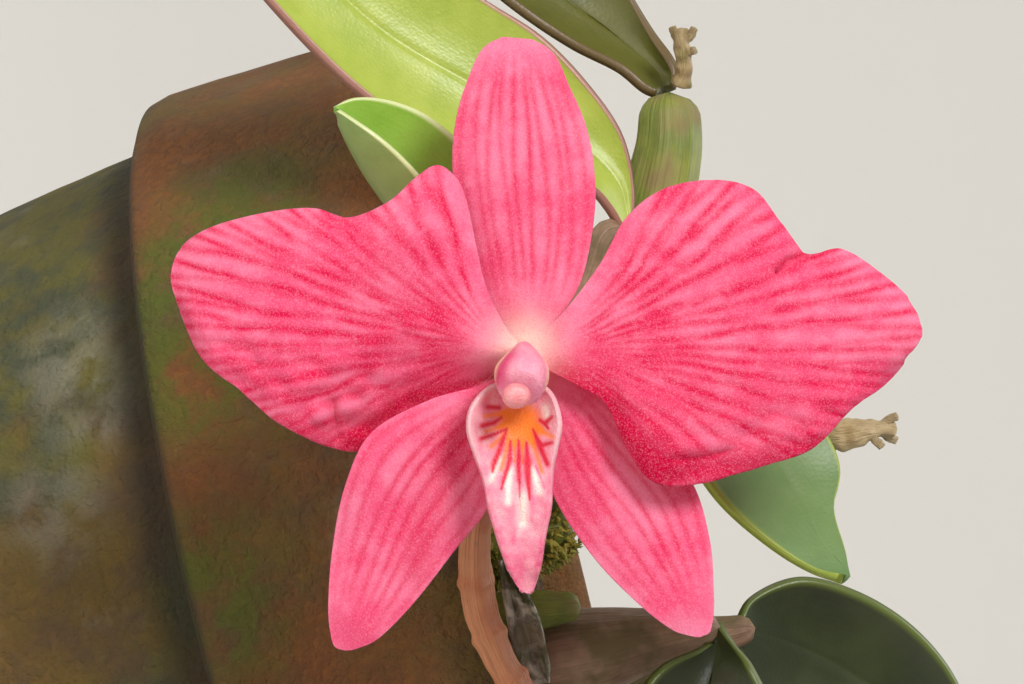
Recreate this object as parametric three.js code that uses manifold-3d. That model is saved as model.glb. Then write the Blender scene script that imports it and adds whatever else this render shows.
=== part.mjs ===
// Potted orchid with one open flower: clay pot, bark mix, creeping plant, leaves and bloom.
// Millimetres, +Z up. The origin is the centre of the pot's flat base.
import * as THREE from 'three';
import { mergeVertices } from 'three/addons/utils/BufferGeometryUtils.js';
import Module from 'manifold-3d';

const wasm = await Module();
wasm.setup();

// Driving dimensions of the pot
const potHeight = 118;
const rimHeight = 31;
const rimRadius = 63;
const rimFlare = THREE.MathUtils.degToRad(2);
const bodyTopRadius = 57.5;
const bodyTaper = THREE.MathUtils.degToRad(9);
const rimWall = 6.6;
const bodyWall = 6;
const baseThickness = 7;
const potSides = 44;
const drainRadius = 4.5;
const drainCircle = 17;
const drainCount = 3;

// Driving dimensions of the mix and the plant
const gap = 0.3;
const mixLevel = 109;
const mixDome = 1.6;
const chipCount = 30;
const mossCount = 6;
const frameSteps = 100;
const leafThickness = 1.5;
const leafTipShare = 0.5;
const petalThickness = 0.7;
const sepalThickness = 0.8;
const lipThickness = 0.7;

// Where the flower's face stands in the pot's frame, and how it is turned
const flowerCentre = new THREE.Vector3(-22.9, -93.4, 130.6);
const flowerTilt = THREE.MathUtils.degToRad(4.9);
const flowerRoll = THREE.MathUtils.degToRad(75.6);

// One seeded draw, so the chips and moss fall the same way each time
let seed = 20731;
function random() {
  seed = (seed * 1664525 + 1013904223) % 4294967296;
  return seed / 4294967296;
}

// The bloom's own frame: X to its right, Y to its top sepal, Z out of its face
const bloomFrame = (() => {
  const right = new THREE.Vector3(Math.cos(flowerRoll), 0, 0);
  const lean = new THREE.Vector3(0, Math.sin(flowerTilt), Math.cos(flowerTilt));
  right.addScaledVector(lean, Math.sin(flowerRoll));
  const out = new THREE.Vector3(0, -Math.cos(flowerTilt), Math.sin(flowerTilt));
  const up = new THREE.Vector3().crossVectors(out, right);
  return new THREE.Matrix4().makeBasis(right, up, out).setPosition(flowerCentre);
})();

const vector = ([x, y, z = 0]) => new THREE.Vector3(x, y, z);
const fromBloom = (p) => vector(p).applyMatrix4(bloomFrame);
const spline = (points) => new THREE.CatmullRomCurve3(points, false, 'centripetal');
const potCurve = (points) => spline(points.map(vector));
const bloomCurve = (points) => spline(points.map(fromBloom));

// An eased step from 0 at from to 1 at to, whichever of the two is larger
const smooth = (from, to, x) => THREE.MathUtils.smoothstep((x - from) / (to - from), 0, 1);
const hump = (x, centre, width) => Math.exp(-(((x - centre) / width) ** 2));

// Value at t of a row of numbers spread evenly from 0 to 1, on a smooth curve
function along(values, t) {
  const curve = new THREE.SplineCurve(values.map((v, i) => new THREE.Vector2(i, v)));
  return curve.getPoint(t).y;
}

// A closed blade over a surface(u, v), u from base to tip and v from -1 to 1 across, with
// offsetAt(u, v) from its middle to one face. Both faces share one split into triangles.
function bladeGeometry(surface, offsetAt, stepsLong, stepsAcross) {
  const columns = stepsAcross + 1;
  const faceSize = (stepsLong + 1) * columns;
  const positions = [];
  const index = [];
  for (const side of [1, -1]) {
    for (let i = 0; i <= stepsLong; i++) {
      for (let j = 0; j < columns; j++) {
        const u = i / stepsLong;
        const v = (2 * j) / stepsAcross - 1;
        const p = surface(u, v).addScaledVector(offsetAt(u, v), side);
        positions.push(p.x, p.y, p.z);
      }
    }
  }
  const quad = (a, b, c, d) => index.push(a, b, c, a, c, d);
  for (let i = 0; i < stepsLong; i++) {
    for (let j = 0; j < stepsAcross; j++) {
      const a = i * columns + j;
      const [b, c, d] = [a + columns, a + columns + 1, a + 1];
      quad(a, b, c, d);
      index.push(faceSize + a, faceSize + c, faceSize + b);
      index.push(faceSize + a, faceSize + d, faceSize + c);
    }
    const low = i * columns;
    const high = low + stepsAcross;
    quad(low, faceSize + low, faceSize + low + columns, low + columns);
    quad(high, high + columns, faceSize + high + columns, faceSize + high);
  }
  const last = stepsLong * columns;
  for (let j = 0; j < stepsAcross; j++) {
    quad(j, j + 1, faceSize + j + 1, faceSize + j);
    quad(last + j, faceSize + last + j, faceSize + last + j + 1, last + j + 1);
  }
  const geometry = new THREE.BufferGeometry();
  geometry.setAttribute('position', new THREE.Float32BufferAttribute(positions, 3));
  geometry.setIndex(index);
  return outward(geometry);
}

// The unit normal of a surface(u, v)
function normalOf(surface, u, v) {
  const nudge = 0.004;
  const long = surface(Math.min(u + nudge, 1), v).sub(surface(Math.max(u - nudge, 0), v));
  const across = surface(u, Math.min(v + nudge, 1)).sub(surface(u, Math.max(v - nudge, -1)));
  return long.cross(across).normalize();
}

// Turns a closed mesh the right way out if its faces point inwards
function outward(geometry) {
  const p = geometry.attributes.position;
  const index = geometry.index.array;
  const [a, b, c] = [new THREE.Vector3(), new THREE.Vector3(), new THREE.Vector3()];
  let volume = 0;
  for (let i = 0; i < index.length; i += 3) {
    a.fromBufferAttribute(p, index[i]);
    b.fromBufferAttribute(p, index[i + 1]);
    c.fromBufferAttribute(p, index[i + 2]);
    volume += a.dot(b.cross(c));
  }
  if (volume < 0) {
    for (let i = 0; i < index.length; i += 3) {
      [index[i + 1], index[i + 2]] = [index[i + 2], index[i + 1]];
    }
  }
  return geometry;
}

// A stem or bulb: a lathe-turned profile bent along a curve, with eased ends
function stemGeometry(curve, radii, rings, sides, grow = 0) {
  const profile = [[0, 0], [0, 0.7], [0.04, 1]];
  for (let i = 1; i < rings; i++) profile.push([0.04 + (0.92 * i) / rings, 1]);
  profile.push([0.96, 1], [1, 0.6], [1, 0]);
  const points = profile.map(([t, share]) => new THREE.Vector2(share, t));
  const geometry = new THREE.LatheGeometry(points, sides);
  geometry.deleteAttribute('normal');
  geometry.deleteAttribute('uv');
  const frames = curve.computeFrenetFrames(frameSteps, false);
  const p = geometry.attributes.position;
  for (let i = 0; i < p.count; i++) {
    const t = p.getY(i);
    const step = Math.round(t * frameSteps);
    const radius = along(radii, t) + grow;
    const place = curve.getPointAt(step / frameSteps);
    const overrun = (t === 1 ? grow : 0) - (t === 0 ? grow : 0);
    place.addScaledVector(frames.tangents[step], overrun);
    place.addScaledVector(frames.normals[step], p.getX(i) * radius);
    place.addScaledVector(frames.binormals[step], p.getZ(i) * radius);
    p.setXYZ(i, place.x, place.y, place.z);
  }
  return outward(mergeVertices(geometry, 1e-4));
}

// Joins and cuts on closed meshes
function solidOf(geometry) {
  const bare = geometry.clone();
  bare.deleteAttribute('normal');
  bare.deleteAttribute('uv');
  const merged = mergeVertices(bare, 1e-4);
  return new wasm.Manifold(new wasm.Mesh({
    numProp: 3,
    vertProperties: new Float32Array(merged.attributes.position.array),
    triVerts: new Uint32Array(merged.index.array),
  }));
}

function geometryOf(solid) {
  const mesh = solid.getMesh();
  const geometry = new THREE.BufferGeometry();
  geometry.setAttribute('position', new THREE.BufferAttribute(mesh.vertProperties, 3));
  geometry.setIndex(new THREE.BufferAttribute(mesh.triVerts, 1));
  return geometry;
}

const largestBody = (solid) => solid.decompose().sort((a, b) => b.volume() - a.volume())[0];
const joined = (geometries) => geometries.map(solidOf).reduce((sum, part) => sum.add(part));

// Materials
const paint = (color, roughness) => new THREE.MeshStandardMaterial({ color, roughness, metalness: 0 });
const clay = paint('#8a5433', 0.9);
const bark = paint('#4a3524', 0.95);
const bulbGreen = paint('#7f9440', 0.5);
const bulbPapery = paint('#9c8a6c', 0.8);
const rhizomeBrown = paint('#8d6246', 0.8);
const leafYoung = paint('#6fa82e', 0.4);
const leafYellow = paint('#a9bf45', 0.4);
const leafOlive = paint('#6f8140', 0.45);
const leafGlaucous = paint('#7fa06a', 0.45);
const driedTan = paint('#b59a6c', 0.9);
const rootSilver = paint('#b9b7a4', 0.8);
const petalPink = paint('#f4607f', 0.5);
const lipPink = paint('#f48a8f', 0.5);
const columnPink = paint('#f19bae', 0.45);
const antherSalmon = paint('#f8a5a0', 0.45);

const orchid = new THREE.Group();
orchid.name = 'potted_orchid';

function place(name, geometry, material, parent = orchid) {
  const mesh = new THREE.Mesh(geometry, material);
  mesh.name = name;
  parent.add(mesh);
  return mesh;
}

// The pot: a tapered body under a flared rim band, turned on a wheel
const rimFoot = potHeight - rimHeight;
const rimTopRadius = rimRadius + rimHeight * Math.tan(rimFlare);
const bodyRadiusAt = (z) => bodyTopRadius - (rimFoot - z) * Math.tan(bodyTaper);
const rimInner = rimTopRadius - rimWall;
const shoulder = rimFoot + 6;

function potGeometry() {
  const outline = [
    [0, 0], [bodyRadiusAt(0) - 1.5, 0], [bodyRadiusAt(1.5), 1.5], [bodyRadiusAt(rimFoot / 2), rimFoot / 2],
    [bodyTopRadius, rimFoot - 0.4], [bodyTopRadius + 0.6, rimFoot], [rimRadius - 2.2, rimFoot],
    [rimRadius - 0.5, rimFoot + 0.9], [rimRadius + 0.1, rimFoot + 3], [rimTopRadius - 0.1, potHeight - 4],
    [rimTopRadius - 1, potHeight - 1.4], [rimTopRadius - 3, potHeight], [rimInner + 1.6, potHeight],
    [rimInner + 0.3, potHeight - 1.2], [rimInner, potHeight - 4], [rimInner - 0.4, shoulder + 2],
    [bodyTopRadius - bodyWall, rimFoot - 3],
      [bodyRadiusAt(baseThickness + 3) - bodyWall, baseThickness + 3],
    [bodyRadiusAt(baseThickness) - bodyWall - 3, baseThickness], [0, baseThickness],
  ].map(([r, z]) => new THREE.Vector2(r, z));
  const turned = new THREE.LatheGeometry(outline, potSides).rotateX(Math.PI / 2);
  let body = solidOf(outward(mergeVertices(stripped(turned), 1e-4)));
  for (let i = 0; i < drainCount; i++) {
    const angle = (2 * Math.PI * (i + 0.25)) / drainCount;
    const hole = new THREE.CylinderGeometry(drainRadius, drainRadius, 3 * baseThickness, 16);
    hole.rotateX(Math.PI / 2);
    hole.translate(drainCircle * Math.cos(angle), drainCircle * Math.sin(angle), baseThickness / 2);
    body = body.subtract(solidOf(hole));
  }
  return geometryOf(body);
}

function stripped(geometry) {
  geometry.deleteAttribute('normal');
  geometry.deleteAttribute('uv');
  return geometry;
}

// The growths: each bulb's axis from foot to top, and its radii spread along it
const growths = [
  { name: 'bulb_oldest', material: bulbPapery, top: [[37, 20, 105], [38, 21, 118], [39, 22, 131]],
    radii: [2.2, 4.2, 5.2, 4.4, 2.2] },
  { name: 'bulb_right', material: bulbPapery, top: [[29, -5, 105], [30, -4, 119], [31, -3, 134]],
    radii: [2.3, 4.4, 5.4, 4.6, 2.3] },
  { name: 'bulb_back', material: bulbGreen, top: [[20, 33, 105], [21, 33, 119], [23, 34, 134]],
    radii: [2.2, 4.0, 5.0, 4.2, 2.2] },
  { name: 'bulb_middle', material: bulbPapery, top: [[14, -19, 105], [14, -20, 124], [14, -22, 139.5]],
    radii: [2.2, 4.2, 5.0, 3.9, 2.3] },
  { name: 'bulb_papery', material: bulbPapery, top: [[10, -42, 105], [10.5, -43.5, 122], [11, -44, 137.5]],
    radii: [2.4, 4.6, 5.4, 4.8, 2.4] },
  { name: 'bulb_mossy', material: bulbGreen, top: [[-4, -44, 104], [-4, -45, 116], [-3.5, -45.5, 127]],
    radii: [2.4, 4.2, 4.6, 4.0, 2.4] },
  { name: 'bulb_young', material: bulbGreen, top: [[3, -50, 104], [3.6, -50, 115], [5, -49.5, 126]],
    radii: [1.6, 2.2, 2.4, 2.2, 1.4] },
  { name: 'bulb_front', material: bulbGreen,
    top: [[-12, -49, 104], [-12.3, -52, 118], [-13.5, -57, 134], [-14.5, -62.3, 147]],
    radii: [1.8, 2.4, 3.0, 3.2, 1.9] },
  { name: 'bulb_tall', material: bulbGreen,
    top: [[-12, -36, 104], [-11, -42, 118], [-9, -51, 138], [-6.3, -60.6, 157.5]],
    radii: [1.8, 2.3, 2.8, 3.0, 1.9] },
  { name: 'bulb_sheathed', material: bulbPapery,
    top: [[-20, -46, 104], [-20.3, -49, 118], [-21.5, -53, 127], [-27, -55, 134.6], [-32.8, -54.5, 138.8]],
    radii: [1.7, 2.2, 2.6, 2.4, 1.7] },
  { name: 'bulb_left', material: bulbGreen,
    top: [[-25, -36, 104], [-25.5, -40, 122], [-29.5, -45, 140], [-39, -45.5, 146.5], [-46, -45, 148.6]],
    radii: [1.7, 2.3, 3.4, 4.0, 3.2] },
];
for (const growth of growths) growth.curve = potCurve(growth.top);

// The creeping rhizome that lies half sunk in the mix, and two roots that run over it
const rhizomeCurve = potCurve([
  [44, 26, 108.6], [35, 9, 109.6], [21, -13, 109.8], [17.5, -34, 109.6], [2, -38, 109],
]);
const rhizomeRadii = [1.6, 2.1, 2.2, 2.1, 1.5];
const rootCurves = [
  [[7, -31, 107.4], [-8, -22, 111.4], [-24, -16, 111.6], [-38, -4, 109.8], [-44, 8, 106.4]],
  [[26, 8, 107.5], [10, 14, 111.6], [-6, 18, 111.6], [-20, 30, 109.6], [-26, 40, 106]],
].map(potCurve);
const rootRadii = [1.0, 1.25, 1.2, 1.15, 0.9];

// The flowering lead: a jointed stem that climbs out of the mix, over the rim and along it
const leadPath = [
  [34, -33, 104], [32.5, -41, 115], [28.5, -51, 122], [23, -60, 123.4], [15.5, -65.6, 121],
  [9, -67.3, 118.6], [2, -68, 117.5], [-2, -69.2, 118], [-6, -71.2, 119.2], [-10, -73, 121],
    [-15.8, -75.6, 124.2], [-21.1, -76.6, 125.7],
];
const leadCurve = potCurve(leadPath);
const leadRadii = [1.3, 1.5, 1.6, 1.5, 1.75, 1.55, 1.8, 1.6, 1.75, 1.5, 1.4, 1.2];

const bulbShape = (curve, radii, grow = 0) => stemGeometry(curve, radii, 6, 8, grow);
const rhizomeShape = (grow = 0) => stemGeometry(rhizomeCurve, rhizomeRadii, 9, 6, grow);
const rootShape = (curve, grow = 0) => stemGeometry(curve, rootRadii, 9, 5, grow);
const leadShape = (grow = 0) => stemGeometry(leadCurve, leadRadii, 20, 7, grow);

// What stands in the mix cuts a plain hole in it
function mixGeometry() {
  const wall = gap;
  const outline = [
    [0, baseThickness + wall], [bodyRadiusAt(baseThickness) - bodyWall - 3.4, baseThickness + wall],
    [bodyRadiusAt(baseThickness + 3) - bodyWall - wall, baseThickness + 3.3],
    [bodyTopRadius - bodyWall - wall, rimFoot - 3], [rimInner - 0.4 - wall, shoulder + 2.4],
    [rimInner - 0.8, mixLevel - 1.5], [rimInner - 5, mixLevel], [rimInner * 0.5, mixLevel + 0.8 * mixDome],
    [0, mixLevel + mixDome],
  ].map(([r, z]) => new THREE.Vector2(r, z));
  const plug = new THREE.LatheGeometry(outline, 36).rotateX(Math.PI / 2);
  let mix = solidOf(outward(mergeVertices(stripped(plug), 1e-4)));
  for (let i = 0; i < chipCount; i++) {
    const angle = i * 2.39996;
    const radius = 46.5 * Math.sqrt((i + 0.6) / chipCount);
    const chip = new THREE.BoxGeometry(9 + 5 * random(), 5 + 3 * random(), 3.6 + 2 * random());
    chip.rotateX((random() - 0.5) * 0.8);
    chip.rotateY((random() - 0.5) * 0.7);
    chip.rotateZ(random() * Math.PI);
    chip.translate(radius * Math.cos(angle), radius * Math.sin(angle), mixLevel + 0.6 + 1.2 * random());
    mix = mix.add(solidOf(chip));
  }
  for (let i = 0; i < mossCount; i++) {
    const angle = 2.2 + i * 0.62;
    const radius = 30 + 17 * random();
    const cushion = new THREE.IcosahedronGeometry(4 + 2.6 * random(), 1);
    cushion.scale(1.25, 1.1, 0.75);
    cushion.rotateZ(random() * Math.PI);
    cushion.translate(radius * Math.cos(angle), radius * Math.sin(angle), mixLevel + 1);
    mix = mix.add(solidOf(cushion));
  }
  for (const { curve, radii } of growths) mix = mix.subtract(solidOf(bulbShape(curve, radii, gap)));
  mix = mix.subtract(solidOf(rhizomeShape(gap)));
  mix = mix.subtract(solidOf(leadShape(gap)));
  for (const curve of rootCurves) mix = mix.subtract(solidOf(rootShape(curve, gap)));
  return geometryOf(largestBody(mix));
}

place('pot', potGeometry(), clay);
place('potting_mix', mixGeometry(), bark);

const rhizomeClear = solidOf(rhizomeShape(gap));
for (const { name, curve, radii, material } of growths) {
  const bulb = solidOf(bulbShape(curve, radii)).subtract(rhizomeClear);
  place(name, geometryOf(largestBody(bulb)), material);
}
place('rhizome', rhizomeShape(), rhizomeBrown);
rootCurves.forEach((curve, i) => place(`root_${i + 1}`, rootShape(curve), rootSilver));
place('flowering_stem', leadShape(), rhizomeBrown);

// Half the thickness of a ribbon: less towards its tip, and all one way where it is narrow
const thinning = (u) => THREE.MathUtils.lerp(1, leafTipShare, smooth(0.6, 1, u));
function ribbonOffset(surface, thickness) {
  return (u, v) => {
    const width = surface(u, 1).distanceTo(surface(u, -1));
    const direction = normalOf(surface, u, 0);
    direction.lerp(normalOf(surface, u, v), smooth(1.2 * thickness, 4 * thickness, width)).normalize();
    return direction.multiplyScalar((thinning(u) * thickness) / 2);
  };
}

// A leaf between two margins and a midrib: its cross section is a parabola through the three,
// never bent tighter than its own thickness allows
function leafGeometry(marginA, midrib, marginB, stepsLong, stepsAcross, thickness = leafThickness) {
  const surface = (u, v) => {
    const a = marginA.getPointAt(u);
    const b = marginB.getPointAt(u);
    const half = b.clone().sub(a).multiplyScalar(0.5);
    const centre = a.add(b).multiplyScalar(0.5);
    const sag = centre.clone().sub(midrib.getPointAt(u));
    const slant = half.dot(sag) ** 2 / sag.lengthSq();
    sag.clampLength(0, (half.lengthSq() - slant) / (1.2 * thinning(u) * thickness));
    return centre.addScaledVector(half, v).addScaledVector(sag, v * v - 1);
  };
  return bladeGeometry(surface, ribbonOffset(surface, thickness), stepsLong, stepsAcross);
}

// Leaves seen beside the flower, in the bloom's frame
const leaves = [
  { name: 'leaf_broad', material: leafYellow, long: 12, across: 4,
    a: [[10.4, 12.6, -38.5], [8.9, 15.0, -37.5], [6.9, 17.0, -36.5], [-0.4, 19.0, -35.5], [-9.7, 22.0, -35],
      [-17.1, 27.0, -34], [-26.7, 36.6, -33], [-33.2, 45.0, -32], [-35.9, 50.6, -31]],
    m: [[10.9, 12.9, -39.5], [9.6, 17.8, -39.7], [4.2, 22.6, -40], [-4.6, 27.6, -40], [-14.5, 33.4, -38.5],
      [-24.4, 42.0, -36], [-32.0, 48.6, -33], [-36.2, 51.2, -31]],
    b: [[11.4, 13.2, -39.5], [11.6, 17.2, -40], [10.3, 22.9, -40], [6.8, 28.1, -40], [1.9, 33.2, -40],
      [-4.0, 37.1, -40], [-14.6, 43.9, -38], [-27.0, 50.4, -34], [-35.9, 51.8, -31]] },
  { name: 'leaf_olive', material: leafOlive, long: 10, across: 4,
    a: [[14.3, 27.7, -48.5], [13.0, 28.3, -48.6], [10.5, 30.4, -49], [5.2, 33.2, -50], [-0.9, 37.4, -50.5],
      [-6.4, 42.5, -51], [-11.7, 50.6, -52], [-16.1, 60.8, -54]],
    m: [[15.2, 28.2, -49.5], [14.6, 30.0, -51.5], [9.8, 34.4, -53.4], [5.2, 38.0, -54.4],
      [-2.0, 45.0, -55.4],
      [-9.0, 54.0, -55.4], [-16.5, 61.4, -54.5]],
    b: [[16.2, 28.5, -49.5], [16.5, 30.0, -50], [16.0, 31.4, -50.4], [14.1, 34.4, -52], [11.9, 38.4, -53.5],
      [7.4, 46.5, -55], [-1.0, 55.6, -55.5], [-9.6, 60.6, -55], [-16.3, 62.0, -54.5]] },
  { name: 'leaf_young', material: leafYoung, long: 11, across: 6, thickness: 0.8,
    a: [[-2.3, -1.9, -17.5], [-1.5, 3.0, -17.3], [-1.6, 10.0, -16], [-4.6, 18.4, -14.5],
      [-9.4, 23.2, -13.2], [-13.3, 24.8, -11.6],
      [-16.6, 24.9, -10], [-18.6, 24.0, -9]],
    m: [[-3.1, -2.1, -17.8], [-4.6, 2.4, -17.2], [-7.8, 7.2, -15.6], [-11.0, 11.6, -13.8],
      [-13.3, 14.6, -12.6], [-15.5, 17.6, -11.2],
      [-17.3, 20.8, -9.8], [-18.5, 23.2, -9]],
    b: [[-3.6, -1.9, -17.2], [-3.9, 2.4, -15.6], [-5.0, 9.4, -13.2], [-9.0, 15.6, -10.2],
      [-11.9, 19.0, -8.8], [-14.2, 21.0, -8],
      [-16.6, 22.6, -8], [-18.2, 23.6, -8.6]] },
  { name: 'leaf_glaucous', material: leafGlaucous, long: 8, across: 4,
    a: [[22.2, -3.9, -28.5], [18.4, -7.0, -25], [17.4, -11.0, -22.5], [19.2, -14.4, -21],
      [23.6, -18.6, -20],
      [29.1, -22.1, -19.6], [32.0, -22.9, -19.6]],
    m: [[22.9, -3.9, -29.5], [24.4, -8.6, -27.4], [26.8, -13.2, -25.4], [30.0, -18.6, -22.4],
      [32.5, -22.9, -20]],
    b: [[23.6, -3.6, -29.5], [28.4, -5.6, -29.4], [31.3, -9.0, -28.4], [32.3, -12.6, -27],
      [31.4, -16.3, -24.6],
      [32.2, -20.0, -22], [32.8, -22.4, -20.4]] },
  { name: 'leaf_dark', material: leafOlive, long: 9, across: 4,
    a: [[24.4, -31.2, -71], [26.0, -28.4, -72.5], [31.6, -26.2, -74], [38.3, -27.9, -76],
      [45.1, -32.2, -78],
      [50.3, -38.5, -80], [52.6, -46.0, -81]],
    m: [[24.6, -32.0, -71.8], [29.4, -33.2, -75.6], [35.6, -36.0, -78.6], [43.0, -40.6, -81],
      [52.4, -46.8, -82]],
    b: [[24.2, -32.9, -71.8], [26.0, -38.0, -73.4], [31.0, -43.6, -75.6], [38.6, -48.0, -78],
      [46.6, -49.2, -80.4],
      [52.0, -47.6, -81.6]] },
  { name: 'leaf_low', material: leafOlive, long: 8, across: 4,
    a: [[20.6, -31.2, -48.0], [18.4, -32.2, -44.6], [14.6, -33.8, -42.2], [12.0, -37.4, -40.6],
      [12.6, -43.6, -38.6], [16.2, -50.2, -37.4]],
    m: [[20.9, -30.4, -48.8], [20.4, -33.6, -45.6], [19.4, -37.6, -44.2], [18.6, -43.0, -43.6],
      [17.2, -50.8, -38.2]],
    b: [[21.0, -29.4, -48.8], [22.6, -31.6, -46.0], [24.2, -33.6, -43.4], [26.0, -37.8, -42.4],
      [24.8, -44.2, -40.4], [18.0, -50.6, -38]] },
];
for (const { name, material, a, m, b, long, across, thickness } of leaves) {
  const [marginA, midrib, marginB] = [a, m, b].map(bloomCurve);
  place(name, leafGeometry(marginA, midrib, marginB, long, across, thickness), material);
}

// Leaves of the older growths, in the pot's frame: a midrib, its half width and how far it folds
const olderLeaves = [
  { name: 'leaf_right', half: 8, fold: 3,
    midrib: [[31.4, -2.8, 135], [37, 0, 152], [46, 4, 172], [60, 9, 188]] },
  { name: 'leaf_oldest', half: 7.4, fold: 3,
    midrib: [[39.4, 22.2, 132.2], [46, 27, 146], [58, 34, 160], [74, 43, 167]] },
  { name: 'leaf_back', half: 7.6, fold: 2.8,
    midrib: [[23.4, 34.2, 135], [32, 42, 147], [48, 53, 157], [66, 63, 160]] },
];
function strapLeafGeometry({ midrib, half, fold }) {
  const rib = potCurve(midrib);
  const surface = (u, v) => {
    const tangent = rib.getTangentAt(u);
    const across = new THREE.Vector3(0, 0, 1).cross(tangent).normalize();
    const inner = new THREE.Vector3().crossVectors(tangent, across);
    const belly = Math.sin(Math.PI * 0.985 * u ** 0.85) ** 0.62;
    const width = half * (0.11 + 0.95 * belly * (1 - 0.1 * u));
    const point = rib.getPointAt(u).addScaledVector(across, v * width);
    return point.addScaledVector(inner, (fold * v * v * width) / half);
  };
  return bladeGeometry(surface, ribbonOffset(surface, leafThickness), 10, 4);
}
for (const leaf of olderLeaves) place(leaf.name, strapLeafGeometry(leaf), leafOlive);

// Dried flower stalks that stay on two old bulbs: a stub with a few side twigs
function driedStalk(name, stem, twigs) {
  const parts = [stemGeometry(bloomCurve(stem), [1.1, 0.75, 0.7, 0.6], 5, 6)];
  for (const twig of twigs) parts.push(stemGeometry(bloomCurve(twig), [0.5, 0.45, 0.4], 2, 5));
  place(name, geometryOf(joined(parts)), driedTan);
}
driedStalk('dried_stalk_left', [[16.7, 28.4, -46.2], [17.2, 30.0, -45.6], [17.0, 32.2, -45],
  [16.8, 34.6, -44.8]], [
  [[17.0, 31.2, -45.4], [17.8, 32.0, -44.8], [18.5, 32.1, -44.4]],
  [[16.9, 32.8, -45], [17.8, 33.6, -44.6], [18.4, 34.6, -44.4]],
  [[16.9, 33.0, -45], [16.2, 34.0, -45.2], [16.0, 34.8, -45.4]],
]);
driedStalk('dried_stalk_right', [[33.9, -8.5, -30.2], [35.4, -8.2, -30], [37.0, -7.9, -29.8],
  [38.5, -8.0, -29.6]], [
  [[35.4, -8.2, -30], [36.2, -9.1, -29.4], [37.0, -9.9, -29]],
  [[36.8, -7.9, -29.8], [37.8, -7.0, -29.6], [38.6, -6.7, -29.4]],
  [[36.6, -7.9, -29.8], [37.6, -8.8, -30.4], [38.6, -9.2, -30.8]],
]);

// The papery sheath that has come loose beside the flowering stem
place('stem_sheath', leafGeometry(
  bloomCurve([[-2.6, -21.4, -26.4], [-2.0, -25.4, -27.4], [-1.2, -30.0, -28.4], [0.2, -34.6, -29.0]]),
  bloomCurve([[-2.2, -21.2, -27.4], [-0.8, -25.4, -28.8], [0.2, -30.0, -29.8], [1.2, -34.4, -30.4]]),
  bloomCurve([[-1.8, -21.4, -27.0], [0.4, -25.0, -28.0], [2.1, -29.4, -29.0], [2.6, -34.2, -29.8]]),
  7, 3, 0.6), driedTan);

// The flower: every piece is drawn on its face plane, with its relief in Z
const bloom = new THREE.Group();
bloom.applyMatrix4(bloomFrame);
orchid.add(bloom);

const planeCurve = (points) => new THREE.SplineCurve(points.map(([x, y]) => new THREE.Vector2(x, y)));

// A petal or sepal between two outlines from base to tip, raised by relief(x, y, u, v)
function tepalSurface({ edgeA, edgeB, relief }) {
  const a = planeCurve(edgeA);
  const b = planeCurve(edgeB);
  return (u, v) => {
    const pa = a.getPointAt(u);
    const pb = b.getPointAt(u);
    const x = THREE.MathUtils.lerp(pa.x, pb.x, (v + 1) / 2);
    const y = THREE.MathUtils.lerp(pa.y, pb.y, (v + 1) / 2);
    return new THREE.Vector3(x, y, relief(x, y, u, v));
  };
}

// A petal, sepal or lip: its faces lie straight above and below its middle, further apart where
// it is steep, so that no fold runs into itself
function tepalGeometry(drawn, thickness, stepsLong, stepsAcross) {
  const surface = tepalSurface(drawn);
  const offsetAt = (u, v) => {
    const level = Math.abs(normalOf(surface, u, v).z);
    return new THREE.Vector3(0, 0, thickness / 2 / Math.max(level, 0.6));
  };
  return bladeGeometry(surface, offsetAt, stepsLong, stepsAcross);
}

const petalLeft = {
  edgeA: [[-1.6, 1.9], [-2.7, 3.8], [-3.9, 6.5], [-4.8, 10.0], [-5.7, 14.2], [-6.6, 16.4], [-8.3, 17.7],
    [-10.2, 16.6], [-12.9, 14.2], [-16.7, 12.7], [-20.3, 13.6], [-25.1, 13.1], [-30.1, 11.7], [-32.9, 9.8],
    [-33.9, 7.2]],
  edgeB: [[-1.8, -1.2], [-4.3, -3.3], [-8.1, -4.9], [-11.9, -6.7], [-14.2, -8.1], [-15.7, -9.3],
    [-18.6, -9.1],
    [-23.4, -6.7], [-27.2, -3.6], [-30.6, -0.6], [-32.7, 3.5], [-33.8, 6.4]],
  relief: (x, y, u, v) => 0.5 + 1.6 * Math.sin(Math.PI * Math.min(u * 1.1, 1))
    - 1.5 * v ** 4 * smooth(0.05, 0.3, u)
    + 0.8 * hump(x, -11, 5) * hump(y, 12, 5) - 1.1 * smooth(-0.2, 0.9, v) * smooth(0.62, 0.4, u)
    - 2.8 * smooth(0.1, 0.95, v) * smooth(-0.02, 0.06, u) * smooth(0.6, 0.36, u)
    + 0.7 * Math.sin(x * 0.62 + 1.3) * smooth(0.2, 0.9, v) * smooth(0.45, 0.7, u)
    - 1.2 * smooth(0.85, 1, u),
};
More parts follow.
